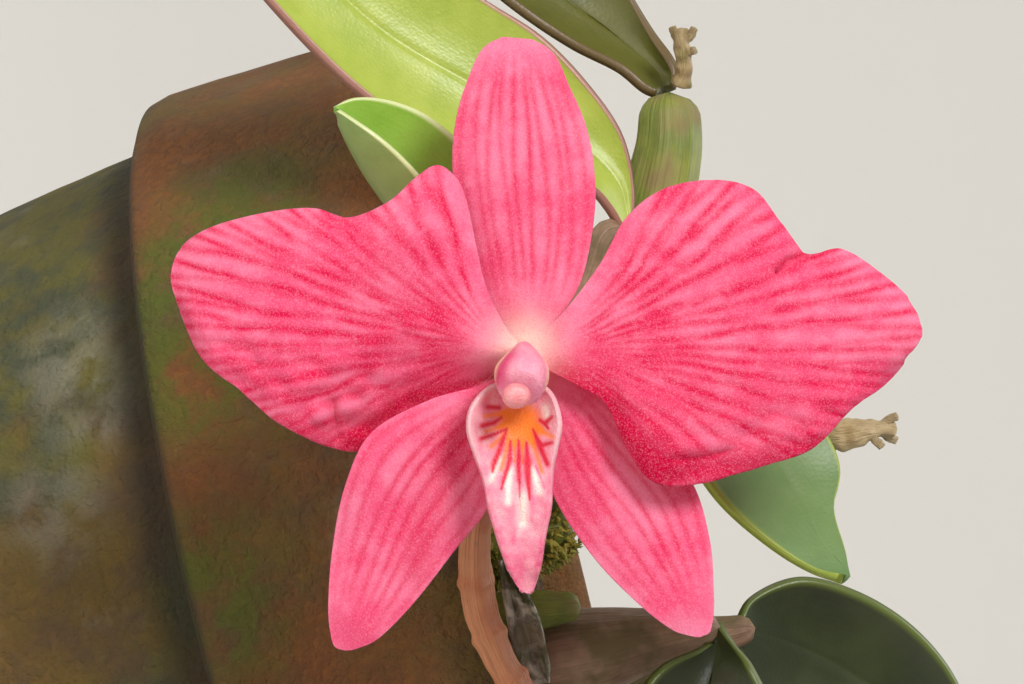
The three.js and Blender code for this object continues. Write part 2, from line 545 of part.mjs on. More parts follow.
const petalRight = {
  edgeA: [[1.5, 1.8], [3.6, 3.7], [7.2, 8.3], [9.8, 12.8], [13.3, 15.5], [18.0, 16.3], [21.7, 15.4],
    [24.2, 12.3], [26.8, 9.3], [30.1, 9.7], [33.9, 7.4], [36.7, 4.8], [37.8, 2.3]],
  edgeB: [[1.8, -1.5], [5.3, -3.3], [7.6, -4.7], [9.1, -7.4], [10.2, -9.8], [12.4, -12.3],
    [15.9, -12.6], [22.9, -10.7],
    [27.4, -9.0], [31.0, -5.3], [34.4, -2.9], [36.8, 0.0], [37.8, 1.5]],
  relief: (x, y, u, v) => 0.8 + 1.7 * Math.sin(Math.PI * Math.min(u * 1.05, 1))
    - 1.1 * v ** 4 * smooth(0.05, 0.3, u)
    + 0.9 * hump(x, 13.5, 4) * hump(y, -8, 4) - 0.9 * hump(x, 26.8, 1.6) * smooth(5, 10, y)
    + 0.5 * Math.sin(x * 0.5) * smooth(0.3, 1, Math.abs(v)) * smooth(0.4, 0.8, u) + 0.5 * smooth(0.9, 1, u),
};
const dorsalSepal = {
  edgeA: [[-1.5, 1.6], [-3.2, 3.9], [-5.0, 8.6], [-6.6, 15.0], [-6.9, 19.3], [-6.4, 23.1], [-5.4, 26.2],
    [-4.2, 28.8], [-2.5, 30.0], [-1.1, 29.9]],
  edgeB: [[1.4, 1.6], [3.9, 4.2], [5.6, 7.6], [6.6, 13.1], [6.6, 17.4], [5.8, 21.7], [4.1, 25.7],
    [2.9, 28.3], [1.1, 29.7], [-0.4, 29.8]],
  relief: (x, y, u, v) => -1.7 - 0.9 * Math.sin(Math.PI * u) * v * v + 0.5 * Math.sin(Math.PI * u)
    - 1.6 * smooth(0.8, 1, u),
};
const sepalLeft = {
  edgeA: [[-1.6, -1.8], [-4.3, -3.3], [-9.0, -4.6], [-14.6, -7.7], [-17.1, -12.7], [-18.4, -18.9],
    [-18.8, -24.2], [-18.5, -27.7], [-17.9, -28.5]],
  edgeB: [[-0.4, -2.7], [-1.7, -9.4], [-3.6, -14.9], [-6.7, -18.9], [-10.5, -23.8], [-13.8, -27.2],
    [-16.1, -28.4], [-17.3, -28.6]],
  relief: (x, y, u, v) => -1.7 + 0.6 * Math.sin(Math.PI * u) - 0.7 * v * v * Math.sin(Math.PI * u)
    + 1.5 * smooth(0.2, -0.8, v) * smooth(0, 0.08, u) * smooth(0.75, 0.45, u) - 0.8 * smooth(0.85, 1, u),
};
const sepalRight = {
  edgeA: [[1.7, -1.5], [6.2, -3.4], [11.0, -7.3], [15.8, -12.2], [17.7, -18.0], [18.1, -23.7],
    [17.9, -26.5],
    [17.5, -27.1]],
  edgeB: [[0.4, -2.7], [1.5, -9.4], [3.1, -14.4], [6.8, -19.9], [11.0, -24.2], [14.0, -26.5], [15.8, -27.2],
    [16.8, -27.4]],
  relief: (x, y, u, v) => -1.7 - 0.7 * v * v * Math.sin(Math.PI * u)
    - 0.4 * Math.sin(Math.PI * u) * smooth(0, -1, v)
    - 0.7 * smooth(0.85, 1, u),
};
const lip = {
  edgeA: [[-1.3, -2.9], [-3.4, -3.4], [-5.0, -5.1], [-5.4, -7.2], [-4.8, -9.6], [-3.9, -12.2],
    [-3.4, -14.9],
    [-2.2, -18.7], [-1.0, -21.8], [-0.2, -22.6]],
  edgeB: [[0.9, -2.9], [2.5, -4.0], [3.3, -6.5], [3.0, -8.9], [2.6, -11.3], [2.5, -14.1], [1.9, -17.2],
    [1.4, -20.1], [0.9, -22.3], [0.5, -22.6]],
  relief: (x, y, u, v) => -0.6 + 4.4 * smooth(0, 0.62, u) + 3.2 * v * v * hump(u, 0.2, 0.22)
    + 0.8 * v * v * smooth(0.4, 0.6, u) - 0.9 * smooth(0.8, 1, u),
};

place('dorsal_sepal', tepalGeometry(dorsalSepal, sepalThickness, 10, 6), petalPink, bloom);
place('lateral_sepal_left', tepalGeometry(sepalLeft, sepalThickness, 10, 6), petalPink, bloom);
place('lateral_sepal_right', tepalGeometry(sepalRight, sepalThickness, 10, 6), petalPink, bloom);
place('petal_left', tepalGeometry(petalLeft, petalThickness, 15, 8), petalPink, bloom);
place('petal_right', tepalGeometry(petalRight, petalThickness, 15, 8), petalPink, bloom);
place('lip', tepalGeometry(lip, lipThickness, 12, 6), lipPink, bloom);

// The column stands on the ovary's top and leans out over the lip, with the anther cap at its end
const columnCurve = potCurve([[-0.1, 0.1, -2.2], [-0.15, -0.7, 1.2], [-0.3, -2.0, 4.2], [-0.5, -3.6, 6.4]]);
place('column', stemGeometry(columnCurve, [1.0, 1.45, 2.2, 2.6, 2.1], 6, 12), columnPink, bloom);
const antherCap = new THREE.SphereGeometry(1, 10, 8);
antherCap.scale(1.35, 1.3, 1.1);
antherCap.rotateX(0.7);
antherCap.translate(-0.84, -4.1, 7.7);
place('anther_cap', antherCap, antherSalmon, bloom);

// The ovary and its stalk carry the flower from the tip of the growth
const ovaryCurve = potCurve([[-2.7, -3.4, -15.5], [-2.1, -3.4, -11.6], [-0.5, -1.6, -7],
  [-0.1, 0.2, -3.0]]);
place('ovary', stemGeometry(ovaryCurve, [0.9, 1.0, 1.3, 1.7, 3.1], 6, 10), rhizomeBrown, bloom);

export default orchid;
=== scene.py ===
# %% [markdown]
# # A small potted orchid with one open flower
# The orchid grows from a creeping rhizome in a clay pot. Its one flower faces the viewer, and the
# pot stands upright while the camera is rolled onto its side, as in the photograph.

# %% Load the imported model
import math
import random

import bmesh
import bpy
from mathutils import Matrix, Vector, kdtree, noise


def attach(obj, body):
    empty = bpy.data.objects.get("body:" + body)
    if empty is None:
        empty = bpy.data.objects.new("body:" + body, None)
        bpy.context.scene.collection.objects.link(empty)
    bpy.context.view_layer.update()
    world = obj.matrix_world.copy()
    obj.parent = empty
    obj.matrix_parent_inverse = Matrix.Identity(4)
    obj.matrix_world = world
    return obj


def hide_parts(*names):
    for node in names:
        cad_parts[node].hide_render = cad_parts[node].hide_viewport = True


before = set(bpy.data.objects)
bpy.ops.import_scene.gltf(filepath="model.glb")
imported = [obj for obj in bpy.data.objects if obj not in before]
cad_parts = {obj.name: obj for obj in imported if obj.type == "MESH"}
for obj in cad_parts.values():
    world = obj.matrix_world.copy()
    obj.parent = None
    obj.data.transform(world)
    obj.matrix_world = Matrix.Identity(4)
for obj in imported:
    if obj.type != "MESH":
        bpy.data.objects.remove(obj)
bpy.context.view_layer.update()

# %% [markdown]
# ## The camera
# The flower has a frame of its own: X to its right, Y to its top sepal and Z out of its face. The
# camera stands square to that face, so both are built from the same two angles.

# %% Flower frame and camera
MM = 0.001
FLOWER_CENTRE = Vector((-22.9, -93.4, 130.6)) * MM
FLOWER_TILT = math.radians(4.9)
FLOWER_ROLL = math.radians(75.6)

lean = Vector((0, math.sin(FLOWER_TILT), math.cos(FLOWER_TILT)))
FLOWER_RIGHT = Vector((math.cos(FLOWER_ROLL), 0, 0)) + lean * math.sin(FLOWER_ROLL)
FLOWER_OUT = Vector((0, -math.cos(FLOWER_TILT), math.sin(FLOWER_TILT)))
FLOWER_UP = FLOWER_OUT.cross(FLOWER_RIGHT)
FLOWER_TURN = Matrix((FLOWER_RIGHT, FLOWER_UP, FLOWER_OUT)).transposed()


def from_bloom(x, y, z=0.0):
    """A point of the flower's frame, in millimetres, as a point of the pot's frame in metres."""
    return FLOWER_CENTRE + FLOWER_TURN @ Vector((x, y, z)) * MM


def to_bloom(point):
    """The other way: a point of the pot's frame as millimetres of the flower's frame."""
    return FLOWER_TURN.transposed() @ (point - FLOWER_CENTRE) / MM


def from_pot(x, y, z=0.0):
    return Vector((x, y, z)) * MM


CAMERA_PLACE = (-1.24, 0.955, 372)
LENS = 136.93
camera_data = bpy.data.cameras.new("photograph_camera")
camera_data.sensor_width = 36
camera_data.lens = LENS
camera_data.clip_start = 0.02
camera_data.clip_end = 30
camera = bpy.data.objects.new("photograph_camera", camera_data)
camera.matrix_world = FLOWER_TURN.to_4x4()
camera.location = from_bloom(*CAMERA_PLACE)
bpy.context.scene.collection.objects.link(camera)
bpy.context.scene.camera = camera
print("camera at", [round(c, 4) for c in camera.location])

# %% [markdown]
# ## Floor and light
# A pale sheet of paper that sweeps up all round hides the horizon, which would otherwise stand
# upright in this rolled view. It is one profile spun about the pot's axis. The key light stands
# in front of the flower to its right, as the lip's shadow on the left sepal shows.


# %% Small makers that every step uses
def colour(code):
    """A web colour as a linear one."""
    parts = [int(code[i : i + 2], 16) / 255 for i in (1, 3, 5)]
    return (*[((c + 0.055) / 1.055) ** 2.4 if c > 0.04045 else c / 12.92 for c in parts], 1)


def new_object(name, bm):
    mesh = bpy.data.meshes.new(name)
    bm.to_mesh(mesh)
    bm.free()
    mesh.shade_smooth()
    made = bpy.data.objects.new(name, mesh)
    bpy.context.scene.collection.objects.link(made)
    return made


def make(tree, kind, inputs=None, **settings):
    """Adds a node. An input given as a socket is linked, and any other value is set."""
    made = tree.nodes.new("ShaderNode" + kind)
    for key, value in settings.items():
        setattr(made, key, value)
    for key, value in (inputs or {}).items():
        if isinstance(value, bpy.types.NodeSocket):
            tree.links.new(value, made.inputs[key])
        else:
            made.inputs[key].default_value = value
    return made


def spun(profile, steps):
    """A profile of (radius, height) points spun about the Z axis."""
    bm = bmesh.new()
    row = [bm.verts.new((r, 0, z)) for r, z in profile]
    edges = [bm.edges.new(pair) for pair in zip(row, row[1:])]
    bmesh.ops.spin(bm, geom=row + edges, cent=(0, 0, 0), axis=(0, 0, 1), angle=2 * math.pi,
                   steps=steps, use_merge=True)
    bmesh.ops.remove_doubles(bm, verts=bm.verts, dist=1e-6)
    bmesh.ops.recalc_face_normals(bm, faces=bm.faces)
    return bm


print("pure white is", colour("#FFFFFF"))

# %% Stage
FLAT_RADIUS, BEND_RADIUS, PAPER_TOP = 2.4, 1.6, 4.5
bend = [i * math.pi / 24 for i in range(1, 13)]
sweep = [(0, 0), (1.0, 0), (FLAT_RADIUS, 0)]
sweep += [(FLAT_RADIUS + BEND_RADIUS * math.sin(a), BEND_RADIUS - BEND_RADIUS * math.cos(a)) for a in bend]
sweep += [(FLAT_RADIUS + BEND_RADIUS, PAPER_TOP)]
stage_bm = spun(sweep, 96)
bmesh.ops.reverse_faces(stage_bm, faces=stage_bm.faces)
stage = new_object("paper_sweep", stage_bm)

paper = bpy.data.materials.new("pale_paper")
paper.use_nodes = True
shader = paper.node_tree.nodes["Principled BSDF"]
shader.inputs["Base Color"].default_value = colour("#E4E1DB")
shader.inputs["Roughness"].default_value = 0.9
stage.data.materials.append(paper)

world = bpy.data.worlds.new("studio")
bpy.context.scene.world = world
world.use_nodes = True
sky = world.node_tree.nodes["Background"]
sky.inputs["Color"].default_value = colour("#F2F0EC")
sky.inputs["Strength"].default_value = 0.42


def area_light(name, place, aim, size, watts):
    data = bpy.data.lights.new(name, "AREA")
    data.shape = "DISK"
    data.size = size
    data.energy = watts
    lamp = bpy.data.objects.new(name, data)
    lamp.location = place
    lamp.rotation_mode = "QUATERNION"
    lamp.rotation_quaternion = (Vector(place) - Vector(aim)).to_track_quat("Z", "Y")
    bpy.context.scene.collection.objects.link(lamp)


# %% Three lights
area_light("key", from_bloom(430, 540, 800), FLOWER_CENTRE, 0.36, 9.2)
area_light("fill", from_bloom(-500, 300, 1000), FLOWER_CENTRE, 1.2, 4.8)
area_light("backdrop", (0, 2.0, 2.8), (0, 2.0, 0), 3.0, 50)
bpy.context.scene.view_settings.view_transform = "Standard"
print("stage and three lights")


# %% [markdown]
# ## Curves
# Margins, midribs and stems are drawn through a few points. A path is sampled closely once and
# read back by its own length, so that rows of a grid fall evenly along it.


# %% Paths
class Path:
    """A smooth curve through points, read by its length from 0 to 1."""

    SAMPLES = 360

    def __init__(self, points, even=False):
        points = [Vector(p) for p in points]
        dense = []
        pieces = len(points) - 1
        for k in range(self.SAMPLES + 1):
            place = k * pieces / self.SAMPLES
            whole = min(int(place), pieces - 1)
            dense.append(self.between(points, whole, place - whole, even))
        self.points = dense
        self.lengths = [0.0]
        for a, b in zip(dense, dense[1:]):
            self.lengths.append(self.lengths[-1] + (b - a).length)

    @staticmethod
    def between(points, i, t, even):
        """The point at share t of span i; an even curve takes its points as equally far apart."""
        p1, p2 = points[i], points[i + 1]
        before = points[i - 1] if i else (p1 if even else 2 * p1 - p2)
        last = i + 2 >= len(points)
        after = (p2 if even else 2 * p2 - p1) if last else points[i + 2]
        if even:
            m1, m2 = (p2 - before) / 2, (after - p1) / 2
        else:
            d0 = max((p1 - before).length, 1e-9) ** 0.5
            d1 = max((p2 - p1).length, 1e-9) ** 0.5
            d2 = max((after - p2).length, 1e-9) ** 0.5
            m1 = ((p1 - before) / d0 - (p2 - before) / (d0 + d1) + (p2 - p1) / d1) * d1
            m2 = ((p2 - p1) / d1 - (after - p1) / (d1 + d2) + (after - p2) / d2) * d1
        t2, t3 = t * t, t * t * t
        return (p1 * (2 * t3 - 3 * t2 + 1) + m1 * (t3 - 2 * t2 + t)
                + p2 * (3 * t2 - 2 * t3) + m2 * (t3 - t2))

    def at(self, share):
        goal = min(max(share, 0.0), 1.0) * self.lengths[-1]
        low, high = 0, len(self.lengths) - 1
        while high - low > 1:
            middle = (low + high) // 2
            low, high = (middle, high) if self.lengths[middle] <= goal else (low, middle)
        span = self.lengths[high] - self.lengths[low]
        return self.points[low].lerp(self.points[high], (goal - self.lengths[low]) / span if span else 0)

    def tangent(self, share):
        return (self.at(share + 0.01) - self.at(share - 0.01)).normalized()


def bloom_path(points):
    return Path([from_bloom(*p) for p in points])


def pot_path(points):
    return Path([from_pot(*p) for p in points])


def smooth(start, stop, x):
    """An eased step from 0 at start to 1 at stop, whichever of the two is larger."""
    t = min(max((x - start) / (stop - start), 0.0), 1.0)
    return t * t * (3 - 2 * t)


def hump(x, centre, width):
    return math.exp(-(((x - centre) / width) ** 2))


def row_value(values, t):
    """Value at t of a row of numbers spread evenly from 0 to 1, on a smooth curve."""
    place = min(max(t, 0.0), 1.0) * (len(values) - 1)
    i = min(int(place), len(values) - 2)
    points = [Vector((k, value)) for k, value in enumerate(values)]
    return Path.between(points, i, place - i, True).y


bow = bloom_path([(0, 0), (5, 3), (10, 0)])
print("a bow 10 mm across measures", round(bow.lengths[-1] / MM, 2), "mm along")


# %% [markdown]
# ## Blades and stems from one grid
# Petals, leaves, bulbs and stems all start as a flat grid whose corners are then moved: onto a
# surface for a blade, or wrapped round a path for a stem. The grid's own two directions become
# the UV map, so a finish can run along the piece.


# %% Grid makers
def draped(long, across, place, marks=None):
    """A grid moved to place(u, v), u from 0 to 1 and v from -1 to 1, with its UV map and marks."""
    bm = bmesh.new()
    uv = bm.loops.layers.uv.new("UVMap")
    layers = {name: bm.verts.layers.float.new(name) for name in (marks or {})}
    bmesh.ops.create_grid(bm, x_segments=long, y_segments=across, size=1)
    grid = {vert: ((vert.co.x + 1) / 2, vert.co.y) for vert in bm.verts}
    for face in bm.faces:
        for loop in face.loops:
            u, v = grid[loop.vert]
            loop[uv].uv = (u, (v + 1) / 2)
    for vert, (u, v) in grid.items():
        for name, layer in layers.items():
            vert[layer] = marks[name](u, v)
        vert.co = place(u, v)
    return bm


ROUNDED_END = 0.05


def stem_mesh(path, radii, rings, sides, surface=None):
    """A closed stem wrapped round a path; surface(t, angle) adds to its radius, in millimetres."""
    frames = []
    side = Vector((0.31, 0.83, 0.46))
    for i in range(rings + 1):
        along = path.tangent(i / rings)
        side = (side - along * side.dot(along)).normalized()
        frames.append((path.at(i / rings), side.copy(), along.cross(side)))

    def place(u, v):
        i = round(u * rings)
        centre, a, b = frames[i]
        angle = math.pi * (v + 1)
        near_end = min(u, 1 - u) / ROUNDED_END
        share = (1 - (1 - near_end) ** 2) ** 0.5 if near_end < 1 else 1
        radius = row_value(radii, u) + (surface(u, angle) if surface else 0)
        radius *= share * MM
        return centre + (a * math.cos(angle) + b * math.sin(angle)) * radius

    bm = draped(rings, sides, place)
    bmesh.ops.remove_doubles(bm, verts=bm.verts, dist=2e-6)
    bmesh.ops.recalc_face_normals(bm, faces=bm.faces)
    return bm


def keep(piece, slot, *nodes):
    """Fixes a piece to the pot and hides the CAD nodes that it stands for; its slot is not used."""
    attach(piece, "root")
    if nodes:
        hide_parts(*nodes)
    print(piece.name, len(piece.data.polygons), "faces")
    return piece


def thicken(piece, millimetres, second_finish=False):
    wall = piece.modifiers.new("thickness", "SOLIDIFY")
    wall.thickness = millimetres * MM
    wall.offset = 0
    wall.use_quality_normals = True
    wall.material_offset = 1 if second_finish else 0
    return piece


print("grids become blades and stems")


# %% [markdown]
# ## Effects that several finishes share
# Grain, soft patches and lengthwise lines turn up on petals, leaves, bulbs and clay alike, so each
# is a node group with named inputs that is built once.


# %% Shared node groups
def effect(name, inputs, outputs):
    group = bpy.data.node_groups.new(name, "ShaderNodeTree")
    for label, kind, value in inputs:
        socket = group.interface.new_socket(label, in_out="INPUT", socket_type="NodeSocket" + kind)
        if value is not None:
            socket.default_value = value
    for label in outputs:
        group.interface.new_socket(label, in_out="OUTPUT", socket_type="NodeSocketFloat")
    return group, group.nodes.new("NodeGroupInput"), group.nodes.new("NodeGroupOutput")


patches, given, result = effect("soft patches", [
    ("Vector", "Vector", None), ("Scale", "Float", 40.0), ("Low", "Float", 0.45),
    ("High", "Float", 0.6), ("Detail", "Float", 4.0)], ["Mask"])
cloud = make(patches, "TexNoise", {"Vector": given.outputs["Vector"], "Scale": given.outputs["Scale"],
                                   "Detail": given.outputs["Detail"], "Roughness": 0.6})
step = make(patches, "MapRange", {"Value": cloud.outputs[0], "From Min": given.outputs["Low"],
                                  "From Max": given.outputs["High"]}, interpolation_type="SMOOTHSTEP")
patches.links.new(step.outputs[0], result.inputs["Mask"])

grain, given, result = effect("cell grain", [
    ("Vector", "Vector", None), ("Scale", "Float", 4000.0), ("Randomness", "Float", 1.0)],
    ["Dome", "Tone"])
cells = make(grain, "TexVoronoi", {"Vector": given.outputs["Vector"], "Scale": given.outputs["Scale"],
                                   "Randomness": given.outputs["Randomness"]})
dome = make(grain, "MapRange", {"Value": cells.outputs["Distance"], "From Min": 0.0, "From Max": 0.7,
                                "To Min": 1.0, "To Max": 0.0})
tone = make(grain, "SeparateColor", {"Color": cells.outputs["Color"]})
grain.links.new(dome.outputs[0], result.inputs["Dome"])
grain.links.new(tone.outputs[0], result.inputs["Tone"])

lines, given, result = effect("lengthwise lines", [
    ("Vector", "Vector", None), ("Lines", "Float", 30.0), ("Streaks", "Float", 3.0)], ["Streak"])
stretch = make(lines, "CombineXYZ", {"X": given.outputs["Streaks"], "Y": given.outputs["Lines"]})
spread = make(lines, "VectorMath", {0: given.outputs["Vector"], 1: stretch.outputs[0]},
              operation="MULTIPLY")
fibre = make(lines, "TexNoise", {"Vector": spread.outputs[0], "Scale": 1.0, "Detail": 3.0})
lines.links.new(fibre.outputs[0], result.inputs["Streak"])


def finish(name, roughness=0.5, **constants):
    """A new material with its node tree, its shader and its Object coordinates."""
    material = bpy.data.materials.new(name)
    material.use_nodes = True
    tree = material.node_tree
    shader = tree.nodes["Principled BSDF"]
    shader.inputs["Roughness"].default_value = roughness
    for key, value in constants.items():
        shader.inputs[key.replace("_", " ")].default_value = value
    return material, tree, shader, make(tree, "TexCoord").outputs["Object"]


def use(tree, group, output, **inputs):
    return make(tree, "Group", inputs, node_tree=group).outputs[output]


def cloudy(tree, place, scale, low, high, detail=4.0):
    """Soft patches from 0 to 1 over the Object coordinates."""
    return use(tree, patches, "Mask", Vector=place, Scale=scale, Low=low, High=high, Detail=detail)


def mixed(tree, share, a, b):
    """A colour between a and b by share; each may be a web colour or a socket."""
    made = make(tree, "Mix", data_type="RGBA")
    for index, value in ((0, share), (6, a), (7, b)):
        if isinstance(value, bpy.types.NodeSocket):
            tree.links.new(value, made.inputs[index])
        else:
            made.inputs[index].default_value = colour(value) if isinstance(value, str) else value
    return made.outputs[2]


def times(tree, a, b):
    return make(tree, "Math", {0: a, 1: b}, operation="MULTIPLY").outputs[0]


def plus(tree, a, b):
    return make(tree, "Math", {0: a, 1: b}, operation="ADD").outputs[0]


def ranged(tree, value, low, high, to_low=0.0, to_high=1.0):
    return make(tree, "MapRange", {"Value": value, "From Min": low, "From Max": high,
                                   "To Min": to_low, "To Max": to_high},
                interpolation_type="SMOOTHSTEP").outputs[0]


def mark(tree, name):
    return make(tree, "Attribute", attribute_name=name).outputs["Fac"]


def painted(tree, shader, tint, height, depth):
    """Ends a finish with its colour and a height from 0 to 1, as a bump of a depth in millimetres."""
    tree.links.new(tint, shader.inputs["Base Color"])
    bump = make(tree, "Bump", {"Height": height, "Distance": depth * MM})
    tree.links.new(bump.outputs[0], shader.inputs["Normal"])


def dress(piece, *materials):
    for material in materials:
        piece.data.materials.append(material)
    return piece


print("three shared effects")

# %% [markdown]
# ## Petals and sepals
# Each is a thin, slightly translucent blade whose outline and relief are those of the CAD solid,
# on a much finer grid. The veins are the flower's pattern: they leave the claw as a few strands,
# fork wherever they drift apart and run out at the margin. They could be painted, but growing
# them by that rule puts them where a flower has them, and the same mark also sinks them a little.

# %% Outlines and relief
# Edges a and b run from foot to tip on the flower's plane. Relief is the height above that plane.
PETAL_LEFT = {
    "edge_a": [(-1.6, 1.9), (-2.7, 3.8), (-3.9, 6.5), (-4.8, 10.0), (-5.7, 14.2), (-6.6, 16.4), (-8.3, 17.7),
               (-10.2, 16.6), (-12.9, 14.2), (-16.7, 12.7), (-20.3, 13.6), (-25.1, 13.1), (-30.1, 11.7),
               (-32.9, 9.8), (-33.9, 7.2)],
    "edge_b": [(-1.8, -1.2), (-4.3, -3.3), (-8.1, -4.9), (-11.9, -6.7), (-14.2, -8.1), (-15.7, -9.3),
               (-18.6, -9.1), (-23.4, -6.7), (-27.2, -3.6), (-30.6, -0.6), (-32.7, 3.5), (-33.8, 6.4)],
    "relief": lambda x, y, u, v: (
        0.5 + 1.6 * math.sin(math.pi * min(u * 1.1, 1)) - 1.5 * v**4 * smooth(0.05, 0.3, u)
        + 0.8 * hump(x, -11, 5) * hump(y, 12, 5) - 1.1 * smooth(-0.2, 0.9, v) * smooth(0.62, 0.4, u)
        - 2.8 * smooth(0.1, 0.95, v) * smooth(-0.02, 0.06, u) * smooth(0.6, 0.36, u)
        + 0.7 * math.sin(x * 0.62 + 1.3) * smooth(0.2, 0.9, v) * smooth(0.45, 0.7, u)
        - 1.2 * smooth(0.85, 1, u)),
}
PETAL_RIGHT = {
    "edge_a": [(1.5, 1.8), (3.6, 3.7), (7.2, 8.3), (9.8, 12.8), (13.3, 15.5), (18.0, 16.3), (21.7, 15.4),
               (24.2, 12.3), (26.8, 9.3), (30.1, 9.7), (33.9, 7.4), (36.7, 4.8), (37.8, 2.3)],
    "edge_b": [(1.8, -1.5), (5.3, -3.3), (7.6, -4.7), (9.1, -7.4), (10.2, -9.8), (12.4, -12.3),
               (15.9, -12.6), (22.9, -10.7), (27.4, -9.0), (31.0, -5.3), (34.4, -2.9), (36.8, 0.0),
               (37.8, 1.5)],
    "relief": lambda x, y, u, v: (
        0.8 + 1.7 * math.sin(math.pi * min(u * 1.05, 1)) - 1.1 * v**4 * smooth(0.05, 0.3, u)
        + 0.9 * hump(x, 13.5, 4) * hump(y, -8, 4) - 0.9 * hump(x, 26.8, 1.6) * smooth(5, 10, y)
        + 0.5 * math.sin(x * 0.5) * smooth(0.3, 1, abs(v)) * smooth(0.4, 0.8, u)
        + 0.5 * smooth(0.9, 1, u)),
}
DORSAL_SEPAL = {
    "edge_a": [(-1.5, 1.6), (-3.2, 3.9), (-5.0, 8.6), (-6.6, 15.0), (-6.9, 19.3), (-6.4, 23.1), (-5.4, 26.2),
               (-4.2, 28.8), (-2.5, 30.0), (-1.1, 29.9)],
    "edge_b": [(1.4, 1.6), (3.9, 4.2), (5.6, 7.6), (6.6, 13.1), (6.6, 17.4), (5.8, 21.7), (4.1, 25.7),
               (2.9, 28.3), (1.1, 29.7), (-0.4, 29.8)],
    "relief": lambda x, y, u, v: (
        -1.7 - 0.9 * math.sin(math.pi * u) * v * v + 0.5 * math.sin(math.pi * u)
        - 1.6 * smooth(0.8, 1, u)),
}
SEPAL_LEFT = {
    "edge_a": [(-1.6, -1.8), (-4.3, -3.3), (-9.0, -4.6), (-14.6, -7.7), (-17.1, -12.7), (-18.4, -18.9),
               (-18.8, -24.2), (-18.5, -27.7), (-17.9, -28.5)],
    "edge_b": [(-0.4, -2.7), (-1.7, -9.4), (-3.6, -14.9), (-6.7, -18.9), (-10.5, -23.8), (-13.8, -27.2),
               (-16.1, -28.4), (-17.3, -28.6)],
    "relief": lambda x, y, u, v: (
        -1.7 + 0.6 * math.sin(math.pi * u) - 0.7 * v * v * math.sin(math.pi * u)
        + 1.5 * smooth(0.2, -0.8, v) * smooth(0, 0.08, u) * smooth(0.75, 0.45, u)
        - 0.8 * smooth(0.85, 1, u)),
}
SEPAL_RIGHT = {
    "edge_a": [(1.7, -1.5), (6.2, -3.4), (11.0, -7.3), (15.8, -12.2), (17.7, -18.0), (18.1, -23.7),
               (17.9, -26.5), (17.5, -27.1)],
    "edge_b": [(0.4, -2.7), (1.5, -9.4), (3.1, -14.4), (6.8, -19.9), (11.0, -24.2), (14.0, -26.5),
               (15.8, -27.2), (16.8, -27.4)],
    "relief": lambda x, y, u, v: (
        -1.7 - 0.7 * v * v * math.sin(math.pi * u)
        - 0.4 * math.sin(math.pi * u) * smooth(0, -1, v) - 0.7 * smooth(0.85, 1, u)),
}
LIP = {
    "edge_a": [(-1.3, -2.9), (-3.4, -3.4), (-5.0, -5.1), (-5.4, -7.2), (-4.8, -9.6), (-3.9, -12.2),
               (-3.4, -14.9), (-2.2, -18.7), (-1.0, -21.8), (-0.2, -22.6)],
    "edge_b": [(0.9, -2.9), (2.5, -4.0), (3.3, -6.5), (3.0, -8.9), (2.6, -11.3), (2.5, -14.1),
               (1.9, -17.2), (1.4, -20.1), (0.9, -22.3), (0.5, -22.6)],
    "relief": lambda x, y, u, v: (
        -0.6 + 4.4 * smooth(0, 0.62, u) + 3.2 * v * v * hump(u, 0.2, 0.22)
        + 0.8 * v * v * smooth(0.4, 0.6, u) - 0.9 * smooth(0.8, 1, u)),
}


def flat_of(drawn):
    """The blade's flat form: (u, v) to a point on the flower's plane, in millimetres."""
    a, b = Path(drawn["edge_a"], even=True), Path(drawn["edge_b"], even=True)
    return lambda u, v: a.at(u).lerp(b.at(u), (v + 1) / 2)


spread = flat_of(PETAL_RIGHT)(1, 0).x - flat_of(PETAL_LEFT)(1, 0).x
print("the flower spreads", round(spread), "mm from petal tip to petal tip")


# %% Veins of petals and sepals
def fanned_veins(flat, count, draw):
    """Veins of a petal as (x, y, strength, width) all along: they fan out of the claw, bend towards
    the margin and fork once on the way."""
    points = []
    claw = flat(0, 0)
    axis = (flat(1, 0) - claw).normalized()
    square = Vector((-axis.y, axis.x))

    def heading(angle):
        return axis * math.cos(angle) + square * math.sin(angle)

    def bend(a, b, c, d, t):
        return a * (1 - t) ** 3 + b * (3 * t * (1 - t) ** 2) + c * (3 * t * t * (1 - t)) + d * t**3

    def run(a, b, c, d, power):
        steps = max(10, int((d - a).length / 0.15))
        for k in range(steps + 1):
            t = k / steps
            place = bend(a, b, c, d, t)
            far = (place - claw).length
            wave = noise.noise(Vector((place.x * 0.35, place.y * 0.35, power * 20)))
            sway = 0.5 * smooth(3, 10, far) * smooth(1, 0.7, t)
            sway *= noise.noise(Vector((far * 0.22, power * 50, 1.5)))
            place += Vector((-(d - a).y, (d - a).x)).normalized() * sway
            points.append((place.x, place.y, min(1, power * (0.95 + 0.9 * wave)) * smooth(1.5, 7, far),
                           0.24 + 0.22 * smooth(4, 12, far) - 0.1 * smooth(0.8, 1, t)))

    for side in (-1, 1):
        for k in range(count):
            u = 0.34 + 0.66 * (k + 0.5) / count
            goal = flat(u, side)
            reach, power = (goal - claw).length, draw.uniform(0.75, 1)
            angle = math.atan2((goal - claw).dot(square), (goal - claw).dot(axis))
            b = claw + heading(0.6 * angle) * (0.36 * reach)
            c = claw + heading(0.9 * angle) * (0.7 * reach)
            run(claw, b, c, goal, power)
            t = draw.uniform(0.5, 0.7)
            fork = bend(claw, b, c, goal, t)
            other = flat(min(1, u + 0.36 / count), side)
            ahead = (c - b).normalized() * (0.4 * (other - fork).length)
            run(fork, fork + ahead, fork.lerp(other, 0.75), other, 0.8 * power)
    return points


